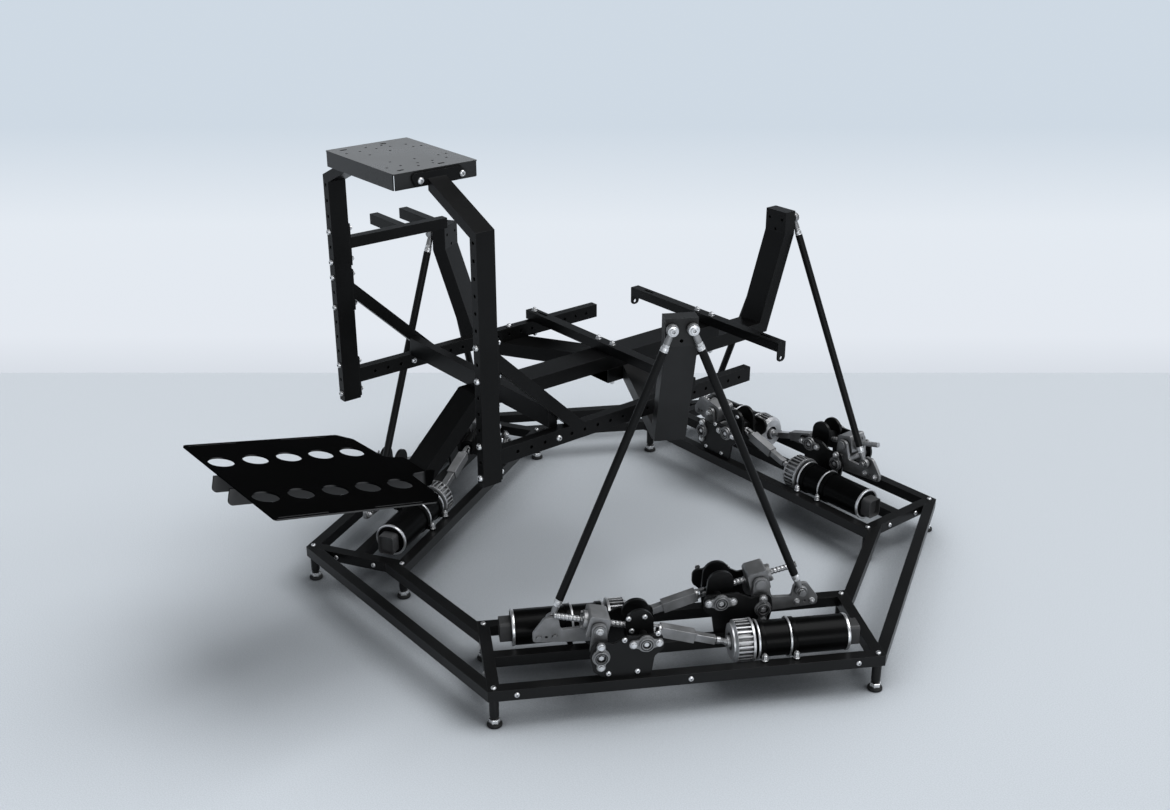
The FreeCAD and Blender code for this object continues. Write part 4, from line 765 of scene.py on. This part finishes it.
def build_up(name, parts, body, first):
    """One piece made of modelled parts, each (part, place); first takes the others in."""
    pieces = [lay_out(f"{name}_part", part, [place], body) for part, place in parts]
    bpy.ops.object.select_all(action="DESELECT")
    for piece in pieces:
        piece.select_set(True)
    bpy.context.view_layer.objects.active = pieces[first]
    bpy.ops.object.join()
    pieces[first].name = name
    return pieces[first]


for station, place in zip(stations, drive_places):
    spot = place @ Matrix.Translation(joint_rear) @ along_shaft
    piece = build_up(f"cardan_{station}", [(part, spot @ lift) for part, lift in cardan_parts],
                     f"cardan_shaft_{station}", 1)
    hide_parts(f"cardan_shaft_{station}")

# Lever, nut and carrier bolts. Through bolts with nuts hold the plate of the rod end on
# the lever's arm; a bolt closes each nut pin, and three sit in the carrier's cheek.
plate_bolts = [seat((ring_radius + 0.028, along, 0.169), (-1, 0, 0)) for along in (-0.361, -0.321)]
plate_buttons = [seat((ring_radius + 0.146, along, up), (1, 0, 0)) for along, up in (
    (-0.204, 0.121), (-0.132, 0.121), (-0.083, 0.224), (-0.165, 0.213))]
lay_out("drive_plate_bolts", button,
        [place @ spot for place in drive_places for spot in plate_buttons])
for station, place in zip(stations, drive_places):
    lay_out(f"lever_plate_nuts_{station}", nut_set, [place @ spot for spot in plate_bolts],
            f"lever_{station}")
    lay_out(f"nut_pin_bolts_{station}", shaft_bolt,
            [place @ seat((ring_radius + 0.1243, *nut_pin.yz), (1, 0, 0))], f"drive_nut_{station}")
    lay_out(f"cheek_bolts_{station}", button,
            [place @ seat((ring_radius + 0.104, trunnion.y + along, trunnion.z + up), (1, 0, 0))
             for along, up in ((-0.036, 0.045), (0.004, 0.047), (-0.028, 0.010))],
            f"screw_carrier_{station}")

# Pushrods. Black painted steel tubes with a bright collar at each end, a lock nut and a
# forged rod end whose ball sits on the lever's pin or on the arm's bolt.
rod_black = coat("rod_black", 0.003, 0.4, edge=0.1, gloss=0.15)
eye = hoop("eye_model", 48, 0.0150, 0.012, 0.0050, 0.0016, cast_grey)
ball_low = hoop("ball_low_model", 36, 0.0096, 0.017, 0.0045, 0.0012, ground_steel)
ball_high = hoop("ball_high_model", 36, 0.0096, 0.017, 0.0025, 0.0012, ground_steel)
neck = turned_part("neck_model", 28, 0.0072, [
    (0.006, 0.0078), (0.012, 0.0084), (0.006, 0.0080), (0, 0.0070)], cast_grey)
lock_nut = turned_part("lock_nut_model", 6, 0.0086, [
    (0.0006, 0.0094), (0.0058, 0.0094), (0.0006, 0.0086)], zinc, angle=20)
collar = turned_part("collar_model", 32, 0.0085, [
    (0.0008, 0.0100), (0.007, 0.0104), (0.0006, 0.0096), (0.0010, 0.0096), (0.0006, 0.0104),
    (0.004, 0.0104)], zinc)
eye_height = 0.932
tube_start, tube_short = 0.0555, 0.1112
for station in stations:
    module, side = station.split("_")
    turn = 1 if side == "outer" else -1
    low = Vector((ring_radius + turn * 0.015, turn * -0.3265, 0.2076))
    high = Vector((0.611, turn * -0.025, eye_height))
    way = (high - low).normalized()
    long = (high - low).length
    place = module_turn(module)
    if module == "left":
        place = place @ Matrix.Diagonal((1, -1, 1, 1))
    tube = turned_part("tube_model", 36, 0.0100, [
        (0.0006, 0.0105), (long - tube_short, 0.0105), (0.0006, 0.0100)], rod_black)
    parts = []
    for end, inward, ball in ((low, way, ball_low), (high, -way, ball_high)):
        across = place @ seat(end, (1, 0, 0))
        parts.append((eye, across @ Matrix.Translation((0, 0, -0.006))))
        parts.append((ball, across @ Matrix.Translation((0, 0, -0.0085))))
        for part, lift in ((neck, 0.0135), (lock_nut, 0.0365), (collar, 0.0432)):
            parts.append((part, place @ seat(end, inward) @ Matrix.Translation((0, 0, lift))))
    parts.append((tube, place @ seat(low + way * tube_start, way)))
    piece = build_up(f"rod_{station}", parts, f"pushrod_{station}", -1)
    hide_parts(f"pushrod_{station}")
    bpy.data.objects.remove(tube)

# Arm bolts. Cap screws with a wide washer hold the upper rod ends on the arms.
cap_screw = turned_part("cap_screw_model", 24, 0.0082, [
    (0.0004, 0.0086), (0.0040, 0.0086), (0.0006, 0.0080), (0, 0.0048), (-0.003, 0.0047)], zinc)
hex_socket(cap_screw, 0.0048)
wide_washer = turned_part("wide_washer_model", 36, 0.0125, [
    (0.0003, 0.0130), (0.0008, 0.0130), (0.0003, 0.0125)], zinc)
shank = turned_part("shank_model", 20, 0.0042, [(0.0355, 0.0042)], zinc)
spacer = turned_part("spacer_model", 28, 0.0100, [(0.0024, 0.0100)], zinc)
arm_screw = as_one("arm_screw_model", (cap_screw, 0.0012), (wide_washer, 0), (shank, -0.0350))
arm_spots = [module_turn(module) @ seat((0.6199, along, eye_height), (1, 0, 0))
             for module in modules for along in (-0.025, 0.025)]
lay_out("arm_screws", arm_screw, arm_spots, "platform")
lay_out("arm_spacers", spacer,
        [spot @ Matrix.Translation((0, 0, -0.0199)) for spot in arm_spots], "platform")

# The models that the pieces were copied from go.
for model in [thing for thing in scene.objects if thing.name.endswith("_model")]:
    bpy.data.objects.remove(model)
